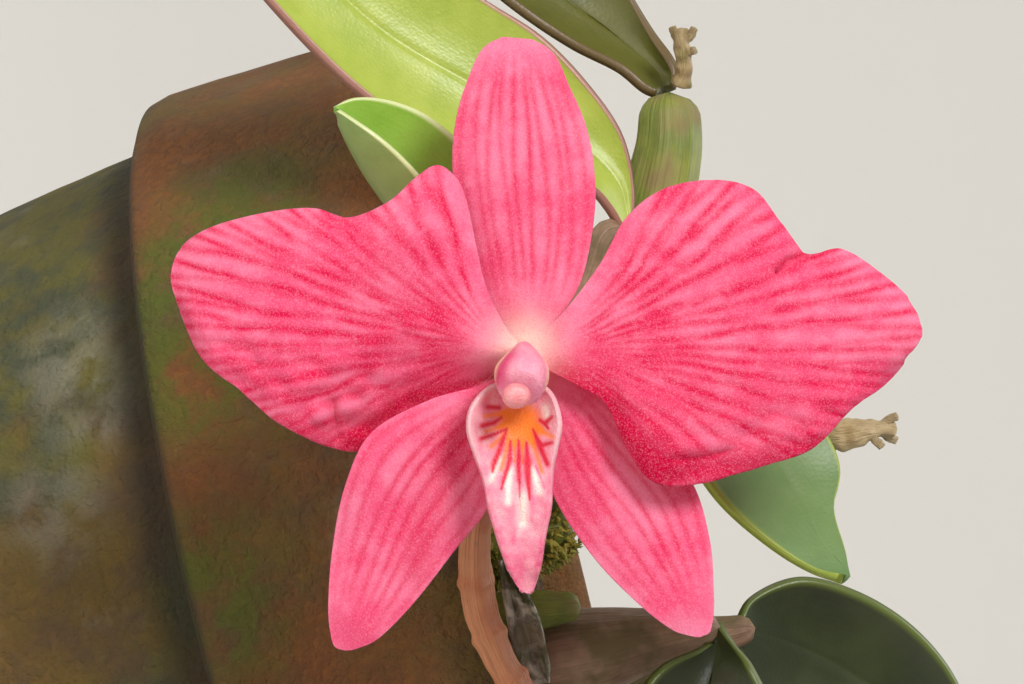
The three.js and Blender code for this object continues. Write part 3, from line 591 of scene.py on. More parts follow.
def parallel_veins(flat, count, draw):
    """Veins of a sepal: side by side from foot to tip."""
    points = []
    for k in range(count):
        lane = ((2 * k + 1) / count - 1) * 0.97
        phase = draw.uniform(0, 6.28)
        for i in range(240):
            u = i / 240
            place = flat(u, lane + 0.035 * math.sin(7 * u + phase))
            wave = 0.72 + 0.3 * noise.noise(Vector((place.x * 0.15, place.y * 0.15, phase)))
            power = wave * (1 - 0.45 * abs(lane)) * smooth(0.05, 0.3, u) * smooth(0.97, 0.7, u)
            points.append((place.x, place.y, min(1, power), 0.34))
    return points


def brush(x, y, row):
    """How near a point is to a painted bar through (x, y, width) points: 1 on it, fading at its edge."""
    best, p = 0.0, Vector((x, y))
    for (x0, y0, w0), (x1, y1, w1) in zip(row, row[1:]):
        a, b = Vector((x0, y0)), Vector((x1, y1))
        share = min(max((p - a).dot(b - a) / (b - a).length_squared, 0), 1)
        best = max(best, math.exp(-(((p - a.lerp(b, share)).length / (w0 + (w1 - w0) * share)) ** 2)))
    return best


def tepal(name, relief, flat, grid, thickness, veins, pucker, fold):
    """A petal or sepal; its grid runs on a little way past the solid's foot, under the column."""
    tree = kdtree.KDTree(len(veins))
    for i, point in enumerate(veins):
        tree.insert((point[0], point[1], 0), i)
    tree.balance()
    spot = {}

    def at(u, v):
        if (u, v) not in spot:
            t = u * 1.04 - 0.04
            place = flat(max(t, 0), v)
            if t < 0:
                place = place * (1 + t / 0.04 * 0.75)
            _, i, distance = tree.find((place.x, place.y, 0))
            vein = math.exp(-((distance / veins[i][3]) ** 2)) * veins[i][2]
            spot[u, v] = (place.x, place.y, max(t, 0), vein)
        return spot[u, v]

    def surface(u, v):
        x, y, t, vein = at(u, v)
        lift = relief(x, y, t, v * min(1, (1 - t) / 0.06)) - 0.07 * vein
        return from_bloom(x, y, lift + (pucker(x, y, t, v) if pucker else 0))

    # The fold mark is painted shade: deeper pink where a blade bends away, along its creases and where the
    # lip's shadow falls.
    def painted_shade(u, v):
        x, y, _, _ = at(u, v)
        return min(1, fold(x, y)) if fold else 0.0

    def heart(u, v):
        x, y, _, _ = at(u, v)
        return math.exp(-((math.hypot(x, y - 0.6) / 3.6) ** 2))

    marks = {"vein": lambda u, v: at(u, v)[3], "fold": painted_shade, "heart": heart}
    return keep(thicken(new_object(name, draped(*grid, surface, marks)), thickness), "petal", name)


# %% Petal finish
petal_skin, tree, shader, place = finish("petal_skin", 0.6, Specular_IOR_Level=0.08, Subsurface_Weight=0.2)
shader.inputs["Subsurface Radius"].default_value = (1.0, 0.2, 0.28)
shader.inputs["Subsurface Scale"].default_value = 0.0014
soft = cloudy(tree, place, 180.0, 0.35, 0.65)
pink = mixed(tree, soft, "#F65A84", "#FF86A8")
faint = ranged(tree, cloudy(tree, place, 700.0, 0.3, 0.6), 0, 1, 0.75, 1.0)
pink = mixed(tree, times(tree, mark(tree, "vein"), faint), pink, "#E2004A")
# Painted shade: the fold mark deepens the pink in creases, on bent-away parts and under the lip's shadow.
pink = mixed(tree, mark(tree, "fold"), pink, "#D20042")
core = make(tree, "Math", {0: mark(tree, "heart"), 1: 1.5}, operation="POWER").outputs[0]
pink = mixed(tree, core, pink, "#FFE2CE")
cell_dome = use(tree, grain, "Dome", Vector=place, Scale=9500.0)
cell_tone_and_sparkle = use(tree, grain, "Tone", Vector=place, Scale=9500.0)
# Painted sparkle: the brightest cells are lighter pink as painted glints, and the dullest cells are a darker
# tone.
pink = mixed(tree, ranged(tree, cell_tone_and_sparkle, 0.5, 1.0, 0.0, 0.26), pink, "#FFAAC0")
pink = mixed(tree, ranged(tree, cell_tone_and_sparkle, 0.35, 0.0, 0.0, 0.2), pink, "#D8245C")
painted(tree, shader, pink, plus(tree, times(tree, cell_dome, 0.6), times(tree, cell_tone_and_sparkle, 0.4)), 0.05)


# %% The five pieces
# The ridge and cleft are relief in the right petal, and painted shade runs along both.
RIDGE_LINE = [(14.0, -10.1, 0.4), (16.8, -9.9, 0.4), (19.3, -9.3, 0.3)]
CLEFT_LINE = [(26.9, 9.3, 0.5), (24.9, 8.7, 0.4), (23.7, 7.5, 0.25)]


def left_pucker(x, y, u, v):
    bumps = 0.5 * noise.noise(Vector((x * 0.55, y * 0.55, 3.1))) * smooth(-0.2, 0.6, v)
    bumps += 0.9 * hump(x, -16.8, 0.9) * hump(y, -5.2, 1.2) + 0.8 * hump(x, -19.6, 0.9) * hump(y, -6.1, 0.9)
    bumps += 0.6 * hump(x, -14.1, 0.8) * hump(y, -5.4, 0.8)
    bumps -= 0.6 * brush(x, y, [(-18.3, -4.6, 0.4), (-18.1, -8, 0.5)])
    return bumps * smooth(0.1, 0.3, u) * smooth(1.0, 0.8, u)


def right_pucker(x, y, u, v):
    bumps = 0.45 * noise.noise(Vector((x * 0.5, y * 0.5, 8.4))) * smooth(0.0, 0.7, v)
    bumps += 0.3 * noise.noise(Vector((x * 1.2, y * 1.2, 2.4))) * smooth(0.5, 0.9, v) * smooth(0.5, 0.7, u)
    bumps += 0.25 * brush(x, y, [(14.3, -9.1, 0.7), (19.0, -8.5, 0.6)]) - 0.25 * brush(x, y, RIDGE_LINE)
    bumps -= 0.7 * brush(x, y, CLEFT_LINE)
    return bumps * smooth(0.1, 0.25, u) * smooth(1.0, 0.9, u)


# Painted shade on the petals: dark bands where a petal bends away from the light, along the ridge and the
# cleft, and over the right petal's lower half.
def left_petal_shade(x, y):
    return (0.9 * brush(x, y, [(-15.6, -7.6, 1.6), (-11.8, -4.6, 1.5), (-5.0, -2.9, 0.6), (-2.5, -1.8, 0.4)])
            + 0.6 * brush(x, y, [(-23.0, -6.5, 0.9), (-18.6, -8.8, 1.3), (-15.8, -8.6, 1.2)])
            + 0.5 * brush(x, y, [(-22.0, -3.6, 0.3), (-17.6, -3.2, 0.4), (-13.0, -3.3, 0.3)]))


def right_petal_shade(x, y):
    return (0.8 * brush(x, y, [(3.2, -1.5, 1.5), (8.0, -4.9, 1.5), (12.2, -10.6, 1.8)])
            + 0.6 * brush(x, y, [(12.0, -12.0, 1.6), (22.0, -10.6, 1.3), (28.5, -8.2, 0.6)])
            + 0.5 * brush(x, y, RIDGE_LINE) + 0.6 * brush(x, y, CLEFT_LINE) + 0.25 * smooth(2, -6, y))


# Painted shadow that the lip casts on the left lateral sepal.
def lip_shadow_on_sepal(x, y):
    return 0.55 * brush(x, y, [(-2.4, -3.6, 1.2), (-6.4, -7.6, 1.7), (-9.0, -15.0, 2.4), (-10.5, -21.0, 1.6)])


draw = random.Random(11)
TEPALS = {
    "petal_left": (PETAL_LEFT, (176, 124), 0.55, fanned_veins, 10, left_pucker, left_petal_shade),
    "petal_right": (PETAL_RIGHT, (176, 124), 0.55, fanned_veins, 10, right_pucker, right_petal_shade),
    "dorsal_sepal": (DORSAL_SEPAL, (130, 80), 0.6, parallel_veins, 10, None, None),
    "lateral_sepal_left": (SEPAL_LEFT, (130, 80), 0.6, parallel_veins, 8, None, lip_shadow_on_sepal),
    "lateral_sepal_right": (SEPAL_RIGHT, (130, 80), 0.6, parallel_veins, 8, None, None),
}
for name, (drawn, grid, thickness, grow, count, pucker, fold) in TEPALS.items():
    flat = flat_of(drawn)
    piece = tepal(name, drawn["relief"], flat, grid, thickness, grow(flat, count, draw), pucker, fold)
    dress(piece, petal_skin)

# %% [markdown]
# ## The lip
# The lip is the landing place: its side lobes curl up round the column, its throat is orange with
# dark red bars, and its pointed middle lobe is streaked with cream and pink.


# %% Lip
# Each row is a painted bar: (x, y, width) points on the flower's plane, in millimetres.
BARS = [
    [(-3.7, -5.2, 0.16), (-2.6, -5.35, 0.15)], [(-2.35, -6.3, 0.08), (-3.1, -6.8, 0.16), (-4.2, -7.0, 0.2)],
    [(-1.8, -7.4, 0.08), (-2.9, -7.85, 0.14), (-4.3, -8.25, 0.17)],
    [(-1.8, -7.5, 0.08), (-2.25, -8.7, 0.2), (-3.0, -10.6, 0.22), (-3.2, -11.4, 0.1)],
    [(-1.4, -8.6, 0.09), (-1.5, -10.3, 0.19), (-1.9, -11.6, 0.15), (-2.3, -13.0, 0.07)],
    [(-0.6, -8.5, 0.09), (-0.56, -10.0, 0.23), (-0.6, -12.2, 0.15), (-0.6, -13.8, 0.06)],
    [(0.2, -8.7, 0.1), (0.24, -10.5, 0.3), (0.35, -12.2, 0.18), (0.45, -14.0, 0.06)],
    [(0.85, -7.4, 0.07), (1.43, -8.7, 0.22), (2.2, -10.6, 0.2)],
    [(1.3, -8.25, 0.1), (1.75, -8.9, 0.17), (2.7, -8.6, 0.12)],
    [(1.55, -6.55, 0.12), (2.05, -6.85, 0.17), (2.75, -6.15, 0.1)], [(2.0, -6.8, 0.14), (2.35, -7.3, 0.1)],
]
RAYS = [
    [(-2.0, -5.9, 0.4), (-4.0, -6.1, 0.22)], [(-2.0, -7.05, 0.3), (-3.9, -7.6, 0.2)],
    [(-2.0, -8.1, 0.3), (-3.3, -9.0, 0.28)], [(-1.6, -8.7, 0.35), (-2.3, -11.2, 0.2)],
    [(-1.0, -8.7, 0.25), (-1.0, -10.6, 0.12)], [(-0.2, -8.7, 0.25), (-0.16, -10.6, 0.12)],
    [(0.8, -8.4, 0.35), (1.7, -11.4, 0.18)], [(1.4, -7.4, 0.35), (2.8, -8.1, 0.22)],
]
CREAM = [
    [(-2.5, -10.2, 0.35), (-3.4, -12.2, 0.35)], [(-1.5, -11.4, 0.38), (-1.7, -14.2, 0.35)],
    [(0.65, -11.2, 0.34), (1.5, -13.2, 0.34)], [(-0.2, -13.8, 0.5), (-0.2, -16.2, 0.45)],
    [(2.1, -5.4, 0.45), (2.2, -6.0, 0.45)],
]
# Pink streaks on the lip; the row at its foot, beside the anther cap, is painted shade.
LIP_PINK_AND_SHADE = [
    [(-2.0, -11.5, 0.12), (-2.4, -13.0, 0.1)], [(1.1, -10.9, 0.12), (2.0, -13.0, 0.12)],
    [(0.6, -13.6, 0.22), (0.75, -15.8, 0.2)], [(-1.3, -16.3, 0.4), (-1.2, -17.8, 0.3)],
    [(-2.6, -3.6, 0.35), (-2.2, -4.8, 0.3)], [(-0.6, -13.5, 0.12), (-0.45, -15.6, 0.08)],
]
lip_flat = flat_of(LIP)
print(len(BARS), "bars and", len(RAYS), "rays in the throat")


def strongest(x, y, rows, wider=1.0):
    return max(brush(x, y, [(a, b, wider * w) for a, b, w in row]) for row in rows)


def throat_mark(x, y):
    heart = math.exp(-((math.hypot((x + 0.35) / 2.25, (y + 6.9) / 2.2)) ** 6))
    return min(1, 0.85 * strongest(x, y, RAYS) + heart)


def pink_and_shade_mark(x, y, v):
    tip = 0.7 * smooth(-16.5, -21, y) + 0.55 * smooth(0.72, 0.95, abs(v)) * smooth(-9, -12, y)
    return min(1, 0.8 * strongest(x, y, LIP_PINK_AND_SHADE) + tip)


LIP_MARKS = {
    "bar": lambda x, y, v: min(1, 1.15 * strongest(x, y, BARS, 1.55)),
    "throat": lambda x, y, v: throat_mark(x, y),
    "cream": lambda x, y, v: strongest(x, y, CREAM),
    "pink_and_shade": pink_and_shade_mark,
    "rim": lambda x, y, v: smooth(0.86, 0.96, abs(v)) * smooth(-12, -8, y),
}
CREASE_LINE = [(-0.5, -12.5, 0.2), (-0.4, -16, 0.2)]


def lip_surface(u, v):
    x, y = lip_flat(u, v)
    lift = LIP["relief"](x, y, u, v * min(1, (1 - u) / 0.1)) - 0.3 * brush(x, y, CREASE_LINE)
    lift += 0.18 * noise.noise(Vector((x * 0.9, y * 0.6, 1.7))) * smooth(0.3, 0.5, u)
    return from_bloom(x, y - 0.25 * (1 - v * v) * smooth(0.97, 1, u), lift)


marks = {kind: lambda u, v, paint=paint: paint(*lip_flat(u, v), v) for kind, paint in LIP_MARKS.items()}
lip = keep(thicken(new_object("lip", draped(150, 90, lip_surface, marks)), 0.5), "lip", "lip")

# %% Lip finish
lip_skin, tree, shader, place = finish("lip_skin", 0.42, Sheen_Weight=0.1, Subsurface_Weight=0.1)
shader.inputs["Subsurface Scale"].default_value = 0.001
rosy = mixed(tree, cloudy(tree, place, 600.0, 0.35, 0.65), "#F48AA4", "#FAB2BE")
rosy = mixed(tree, mark(tree, "cream"), rosy, "#FFEFE4")
spots = ranged(tree, cloudy(tree, place, 1100.0, 0.4, 0.66), 0, 1, 0.5, 1.0)
# Pink streaks, tip and margins, with painted shade beside the anther cap.
rosy = mixed(tree, times(tree, mark(tree, "pink_and_shade"), spots), rosy, "#EE5585")
rosy = mixed(tree, mark(tree, "rim"), rosy, "#F9B9C2")
dots = use(tree, grain, "Tone", Vector=place, Scale=6500.0)
rosy = mixed(tree, ranged(tree, dots, 0.7, 1.0, 0.0, 0.25), rosy, "#DE5A84")
rosy = mixed(tree, mark(tree, "throat"), rosy, "#FF8420")
rosy = mixed(tree, mark(tree, "bar"), rosy, "#DC0438")
painted(tree, shader, rosy, use(tree, grain, "Dome", Vector=place, Scale=6500.0), 0.05)
dress(lip, lip_skin)
print("lip marks", list(LIP_MARKS))

# %% [markdown]
# ## Column, anther cap and ovary
# The column is the flower's fused core. It leans out over the lip and carries the anther cap at
# its end; the ovary behind it is the flower's stalk.

# %% Column
column_path = bloom_path([(-0.1, 0.1, -2.2), (-0.15, -0.7, 1.2), (-0.3, -2.0, 4.2), (-0.5, -3.6, 6.4)])
bm = stem_mesh(column_path, [1.0, 1.45, 2.2, 2.6, 2.1], 90, 72)
tints = {name: bm.verts.layers.float.new(name) for name in ("rim", "left_side_shade", "spot")}
for vert in bm.verts:
    x, y, z = to_bloom(vert.co)
    # Seen from the front the column is an oval; aside runs from -1 to 1 across it.
    middle = -0.11 + 0.108 * y
    half = 2.66 * max(0.05, 1 - ((y + 2.35) / 3.45) ** 2) ** 0.5
    aside = (x - middle) / half
    vert[tints["rim"]] = smooth(0.84, 0.97, abs(aside)) * smooth(-4.6, -3.2, y) * smooth(1.1, 0.4, y)
    # The left side of the column is painted darker pink as shade.
    vert[tints["left_side_shade"]] = smooth(0.25, 0.75, -aside) * smooth(-4.2, -2.4, y) * smooth(0.9, -0.4, y)
    vert[tints["spot"]] = hump(x, 1.2, 0.36) * hump(y, -5.05, 0.34)
    x = middle + (x - middle) * (1 - 0.32 * smooth(-1.6, 1.0, y))
    if z > 1:
        z += 0.22 * hump(x, middle - 0.3, 0.3) * smooth(-4, -2.5, y) - 0.12 * hump(x, middle + 0.7, 0.5)
    vert.co = from_bloom(x, y, z)
column = keep(new_object("column", bm), "column", "column")
column_skin, tree, shader, place = finish("column_skin", 0.42, Subsurface_Weight=0.1)
shader.inputs["Subsurface Scale"].default_value = 0.001
rose = mixed(tree, cloudy(tree, place, 450.0, 0.3, 0.7), "#F08CAA", "#F9ACC0")
# Painted shade: deeper pink down the column's left side.
rose = mixed(tree, mark(tree, "left_side_shade"), rose, "#E0507C")
rose = mixed(tree, mark(tree, "rim"), rose, "#FBD9B8")
rose = mixed(tree, mark(tree, "spot"), rose, "#C774C0")
dots = use(tree, grain, "Tone", Vector=place, Scale=6500.0)
rose = mixed(tree, ranged(tree, dots, 0.6, 1.0, 0.0, 0.3), rose, "#D0708E")
painted(tree, shader, rose, use(tree, grain, "Dome", Vector=place, Scale=6500.0), 0.05)
dress(column, column_skin)

# %% Anther cap
bm = bmesh.new()
bmesh.ops.create_uvsphere(bm, u_segments=40, v_segments=28, radius=1)
ANTHER_CENTRE = Vector((-0.84, -4.1, 7.7))
turn = Matrix.Rotation(0.7, 3, "X")
for vert in bm.verts:
    x, y, z = vert.co
    crease = 1 - 0.10 * hump(x, 0, 0.22) * smooth(-0.2, 0.6, z)
    vert.co = from_bloom(*(turn @ Vector((x * 1.35, y * 1.3, z * 1.1 * crease)) + ANTHER_CENTRE))
bmesh.ops.recalc_face_normals(bm, faces=bm.faces)
anther = keep(new_object("anther_cap", bm), "anther", "anther_cap")
anther_skin, tree, shader, place = finish("anther_skin", 0.4)
salmon = mixed(tree, cloudy(tree, place, 900.0, 0.3, 0.7), "#F88E94", "#FBA8AC")
painted(tree, shader, salmon, use(tree, grain, "Dome", Vector=place, Scale=5000.0), 0.05)
dress(anther, anther_skin)

# %% Ovary
ovary_path = bloom_path([(-2.8, -2.9, -17.0), (-2.7, -3.4, -15.5), (-2.1, -3.4, -11.6), (-0.5, -1.6, -7),
                         (-0.1, 0.2, -3.0)])
bm = stem_mesh(ovary_path, [0.9, 1.0, 1.05, 1.3, 1.8, 3.1], 60, 36, lambda t, a: 0.08 * math.cos(6 * a))
ovary = keep(new_object("ovary", bm), "petal", "ovary")

# %% [markdown]
# ## Leaves
# Orchid leaves are thick, leathery blades with a sunk midrib. Each is a grid between two margins
# and a midrib, the same curves as in the solid, with a slight swell between its long veins.

# %% Leaf surfaces
LEAF_THICKNESS = 1.5


def thinning(u):
    """A leaf's thickness falls by half towards its tip."""
    return 1 - 0.5 * smooth(0.6, 1, u)


def leaf_surface(a, midrib, b, thickness=LEAF_THICKNESS, groove=0.18, swell=0.16, seed=0.0):
    """A bowed sheet between two margins; its bow is held in where the leaf is too narrow for it."""
    def surface(u, v):
        pa, pb = a.at(u), b.at(u)
        half = (pb - pa) / 2
        centre = (pa + pb) / 2
        sag = centre - midrib.at(u)
        slant = half.dot(sag) ** 2 / max(sag.length_squared, 1e-12)
        most = max(half.length_squared - slant, 0) / (1.2 * thinning(u) * thickness * MM)
        if sag.length > most:
            sag = sag * (most / sag.length)
        point = centre + half * v + sag * (v * v - 1)
        away = (sag.normalized() if sag.length > 1e-7 else Vector((0, 0, 1)))
        ripple = noise.noise(Vector((u * 5 + seed, v * 1.7, seed))) * swell * smooth(0, 0.15, u)
        return point + away * (ripple - groove * hump(v, 0, 0.06)) * MM * smooth(1, 0.9, u)

    return surface


LEAVES = {
    "leaf_broad": (
        [(10.4, 12.6, -38.5), (8.9, 15.0, -37.5), (6.9, 17.0, -36.5), (-0.4, 19.0, -35.5), (-9.7, 22.0, -35),
         (-17.1, 27.0, -34), (-26.7, 36.6, -33), (-33.2, 45.0, -32), (-35.9, 50.6, -31)],
        [(10.9, 12.9, -39.5), (9.6, 17.8, -39.7), (4.2, 22.6, -40), (-4.6, 27.6, -40), (-14.5, 33.4, -38.5),
         (-24.4, 42.0, -36), (-32.0, 48.6, -33), (-36.2, 51.2, -31)],
        [(11.4, 13.2, -39.5), (11.6, 17.2, -40), (10.3, 22.9, -40), (6.8, 28.1, -40), (1.9, 33.2, -40),
         (-4.0, 37.1, -40), (-14.6, 43.9, -38), (-27.0, 50.4, -34), (-35.9, 51.8, -31)]),
    "leaf_olive": (
        [(14.3, 27.7, -48.5), (13.0, 28.3, -48.6), (10.5, 30.4, -49), (5.2, 33.2, -50), (-0.9, 37.4, -50.5),
         (-6.4, 42.5, -51), (-11.7, 50.6, -52), (-16.1, 60.8, -54)],
        [(15.2, 28.2, -49.5), (14.6, 30.0, -51.5), (9.8, 34.4, -53.4), (5.2, 38.0, -54.4),
         (-2.0, 45.0, -55.4), (-9.0, 54.0, -55.4), (-16.5, 61.4, -54.5)],
        [(16.2, 28.5, -49.5), (16.5, 30.0, -50), (16.0, 31.4, -50.4), (14.1, 34.4, -52), (11.9, 38.4, -53.5),
         (7.4, 46.5, -55), (-1.0, 55.6, -55.5), (-9.6, 60.6, -55), (-16.3, 62.0, -54.5)]),
    "leaf_young": (
        [(-2.3, -1.9, -17.5), (-1.5, 3.0, -17.3), (-1.6, 10.0, -16), (-4.6, 18.4, -14.5),
         (-9.4, 23.2, -13.2), (-13.3, 24.8, -11.6), (-16.6, 24.9, -10), (-18.6, 24.0, -9)],
        [(-3.1, -2.1, -17.8), (-4.6, 2.4, -17.2), (-7.8, 7.2, -15.6), (-11.0, 11.6, -13.8),
         (-13.3, 14.6, -12.6), (-15.5, 17.6, -11.2), (-17.3, 20.8, -9.8), (-18.5, 23.2, -9)],
        [(-3.6, -1.9, -17.2), (-3.9, 2.4, -15.6), (-5.0, 9.4, -13.2), (-9.0, 15.6, -10.2),
         (-11.9, 19.0, -8.8), (-14.2, 21.0, -8), (-16.6, 22.6, -8), (-18.2, 23.6, -8.6)]),
    "leaf_glaucous": (
        [(22.2, -3.9, -28.5), (18.4, -7.0, -25), (17.4, -11.0, -22.5), (19.2, -14.4, -21),
         (23.6, -18.6, -20), (29.1, -22.1, -19.6), (32.0, -22.9, -19.6)],
        [(22.9, -3.9, -29.5), (24.4, -8.6, -27.4), (26.8, -13.2, -25.4), (30.0, -18.6, -22.4),
         (32.5, -22.9, -20)],
        [(23.6, -3.6, -29.5), (28.4, -5.6, -29.4), (31.3, -9.0, -28.4), (32.3, -12.6, -27),
         (31.4, -16.3, -24.6), (32.2, -20.0, -22), (32.8, -22.4, -20.4)]),
    "leaf_dark": (
        [(24.4, -31.2, -71), (26.0, -28.4, -72.5), (31.6, -26.2, -74), (38.3, -27.9, -76),
         (45.1, -32.2, -78), (50.3, -38.5, -80), (52.6, -46.0, -81)],
        [(24.6, -32.0, -71.8), (29.4, -33.2, -75.6), (35.6, -36.0, -78.6), (43.0, -40.6, -81),
         (52.4, -46.8, -82)],
        [(24.2, -32.9, -71.8), (26.0, -38.0, -73.4), (31.0, -43.6, -75.6), (38.6, -48.0, -78),
         (46.6, -49.2, -80.4), (52.0, -47.6, -81.6)]),
    "leaf_low": (
        [(20.6, -31.2, -48.0), (18.4, -32.2, -44.6), (14.6, -33.8, -42.2), (12.0, -37.4, -40.6),
         (12.6, -43.6, -38.6), (16.2, -50.2, -37.4)],
        [(20.9, -30.4, -48.8), (20.4, -33.6, -45.6), (19.4, -37.6, -44.2), (18.6, -43.0, -43.6),
         (17.2, -50.8, -38.2)],
        [(21.0, -29.4, -48.8), (22.6, -31.6, -46.0), (24.2, -33.6, -43.4), (26.0, -37.8, -42.4),
         (24.8, -44.2, -40.4), (18.0, -50.6, -38)]),
}
OLDER_LEAVES = {
    "leaf_right": (8, 3, [(31.4, -2.8, 135), (37, 0, 152), (46, 4, 172), (60, 9, 188)]),
    "leaf_oldest": (7.4, 3, [(39.4, 22.2, 132.2), (46, 27, 146), (58, 34, 160), (74, 43, 167)]),
    "leaf_back": (7.6, 2.8, [(23.4, 34.2, 135), (32, 42, 147), (48, 53, 157), (66, 63, 160)]),
}


def strap_surface(half, fold, midrib):
    """An older leaf: a folded strap of a half width along its midrib."""
    rib = pot_path(midrib)

    def surface(u, v):
        along = rib.tangent(u)
        across = Vector((0, 0, 1)).cross(along).normalized()
        inner = along.cross(across)
        belly = math.sin(math.pi * 0.985 * u**0.85) ** 0.62
        width = half * (0.11 + 0.95 * belly * (1 - 0.1 * u))
        ripple = 0.3 * noise.noise(Vector((u * 4 + half, v, fold))) - 0.2 * hump(v, 0, 0.06)
        lift = fold * v * v * width / half + ripple
        return rib.at(u) + across * (v * width * MM) + inner * (lift * MM)

    return surface


print(len(LEAVES), "leaves by the photograph and", len(OLDER_LEAVES), "on older growths")


# %% Leaf finishes
def leaf_finish(name, main, pale, margin, roughness=0.38, margin_from=0.9, lines_share=0.25):
    """Leather-like green: a pale midrib, fine long veins, blotches and a tinted margin."""
    material, tree, shader, place = finish(name, roughness, Coat_Weight=0.15, Coat_Roughness=0.35)
    uv = place.node.outputs["UV"]
    green = mixed(tree, cloudy(tree, place, 90.0, 0.3, 0.7), main, pale)
    streak = use(tree, lines, "Streak", Vector=uv, Lines=70.0, Streaks=5.0)
    green = mixed(tree, ranged(tree, streak, 0.45, 0.7, 0, lines_share), green, pale)
    across = make(tree, "SeparateXYZ", {0: uv}).outputs[1]
    off_rib = make(tree, "Math", {0: plus(tree, across, -0.5)}, operation="ABSOLUTE").outputs[0]
    green = mixed(tree, ranged(tree, off_rib, 0.0, 0.025, 0.45, 0.0), green, pale)
    edge = ranged(tree, off_rib, margin_from / 2, 0.495)
    green = mixed(tree, edge, green, margin)
    pores = use(tree, grain, "Dome", Vector=place, Scale=2500.0)
    painted(tree, shader, green, plus(tree, times(tree, streak, 0.5), times(tree, pores, 0.5)), 0.035)
    return material


leaf_yellow = leaf_finish("leaf_yellow_green", "#97AC38", "#B2C052", "#A9786A", margin_from=0.94,
                          lines_share=0.1)
leaf_dull = leaf_finish("leaf_dull_green", "#4A4C1C", "#606126", "#6A5634")
leaf_bright = leaf_finish("leaf_bright_green", "#76A92E", "#92BC46", "#D6E0A0", margin_from=0.95)
leaf_outer = leaf_finish("leaf_grey_green", "#6E8840", "#8CA25C", "#D6E0A0", margin_from=0.95)
leaf_waxy = leaf_finish("leaf_waxy_green", "#5C7E44", "#738F54", "#93A53A", roughness=0.45)
leaf_deep = leaf_finish("leaf_deep_green", "#262E14", "#38421F", "#5C6A2A")

# %% Leaf pieces
LEAF_LOOKS = {
    "leaf_broad": ((130, 56), (leaf_yellow,), "leaf_yellow"),
    "leaf_olive": ((110, 50), (leaf_dull,), "leaf_olive"),
    "leaf_young": ((110, 50), (leaf_bright, leaf_outer), "leaf_young"),
    "leaf_glaucous": ((100, 50), (leaf_waxy,), "leaf_glaucous"),
    "leaf_dark": ((90, 46), (leaf_deep,), "leaf_olive"),
    "leaf_low": ((90, 46), (leaf_deep,), "leaf_olive"),
}
for i, (name, (grid, looks, slot)) in enumerate(LEAF_LOOKS.items()):
    thickness = 0.8 if name == "leaf_young" else LEAF_THICKNESS
    a, midrib, b = [bloom_path(row) for row in LEAVES[name]]
    surface = leaf_surface(a, midrib, b, thickness, seed=3.7 * i)
    leaf = new_object(name, draped(*grid, surface))
    dress(keep(thicken(leaf, 0.7 * thickness, len(looks) > 1), slot, name), *looks)
for name, (half, fold, midrib) in OLDER_LEAVES.items():
    leaf = new_object(name, draped(110, 44, strap_surface(half, fold, midrib)))
    dress(keep(thicken(leaf, 1.0), "leaf_olive", name), leaf_dull)

# %% [markdown]
# ## Bulbs, rhizome, roots and the flowering stem
# The growths are slender bulbs wrapped in papery sheaths that dry from green to tan. They are
# closed stems along a path, with lengthwise furrows, and joints where a sheath ends.

# %% Growth shapes
# Each growth has its path in the pot's frame, its radii from foot to tip, and its skin.
GROWTHS = {
    "bulb_oldest": ([(37, 20, 105), (38, 21, 118), (39, 22, 131), (39.3, 22.2, 134)],
                    [2.2, 4.3, 5.2, 4.5, 3.0, 1.5], "dry"),
    "bulb_right": ([(29, -5, 105), (30, -4, 119), (31, -3, 134), (31.5, -2.8, 137)],
                   [2.3, 4.5, 5.4, 4.6, 3.0, 1.5], "dry"),
    "bulb_back": ([(20, 33, 105), (21, 33, 119), (23, 34, 134), (23.8, 34.6, 136.6)],
                  [2.2, 4.1, 5.0, 4.2, 2.8, 1.5], "green"),
    "bulb_middle": ([(14, -19, 105), (14, -20, 124), (14, -22, 139.5), (14.1, -22.5, 142.3)],
                    [2.2, 4.3, 5.0, 4.1, 2.8, 1.5], "dry"),
    "bulb_papery": ([(10, -42, 105), (10.5, -43.5, 122), (11, -44, 137.5), (11.1, -44.2, 139.6)],
                    [2.4, 4.7, 5.4, 4.8, 3.2, 1.7], "dry"),
    "bulb_mossy": ([(-4, -44, 104), (-4, -45, 116), (-3.5, -45.5, 127)], [2.4, 4.2, 4.6, 4.0, 2.4], "green"),
    "bulb_young": ([(3, -50, 104), (3.6, -50, 115), (5, -49.5, 126)], [1.6, 2.2, 2.4, 2.2, 1.4], "green"),
    "bulb_front": ([(-12, -49, 104), (-12.3, -52, 118), (-13.5, -57, 134), (-14.5, -62.3, 147),
                    (-13.7, -62.3, 149.4)], [1.8, 2.4, 3.0, 3.2, 2.4, 1.1], "green"),
    "bulb_tall": ([(-12, -36, 104), (-11, -42, 118), (-9, -51, 138), (-6.3, -60.6, 157.5)],
                  [1.8, 2.3, 2.8, 3.0, 1.9], "green"),
    "bulb_sheathed": ([(-20, -46, 104), (-20.3, -49, 118), (-21.5, -53, 127), (-27, -55, 134.6),
                       (-32.8, -54.5, 138.8), (-32.8, -53.7, 140.5)], [1.7, 2.2, 2.6, 2.4, 1.9, 1.2], "dry"),
    "bulb_left": ([(-25, -36, 104), (-25.5, -40, 122), (-29.5, -45, 140), (-39, -45.5, 146.5),
                   (-46, -45, 148.6)], [1.7, 2.3, 3.4, 4.0, 3.2], "green"),
}


def furrows(count, depth, seed):
    def surface(t, angle):
        wander = noise.noise(Vector((t * 6, math.cos(angle), math.sin(angle) + seed)))
        return depth * (math.cos(count * angle + 2 * wander) + wander)

    return surface


print(len(GROWTHS), "growths")


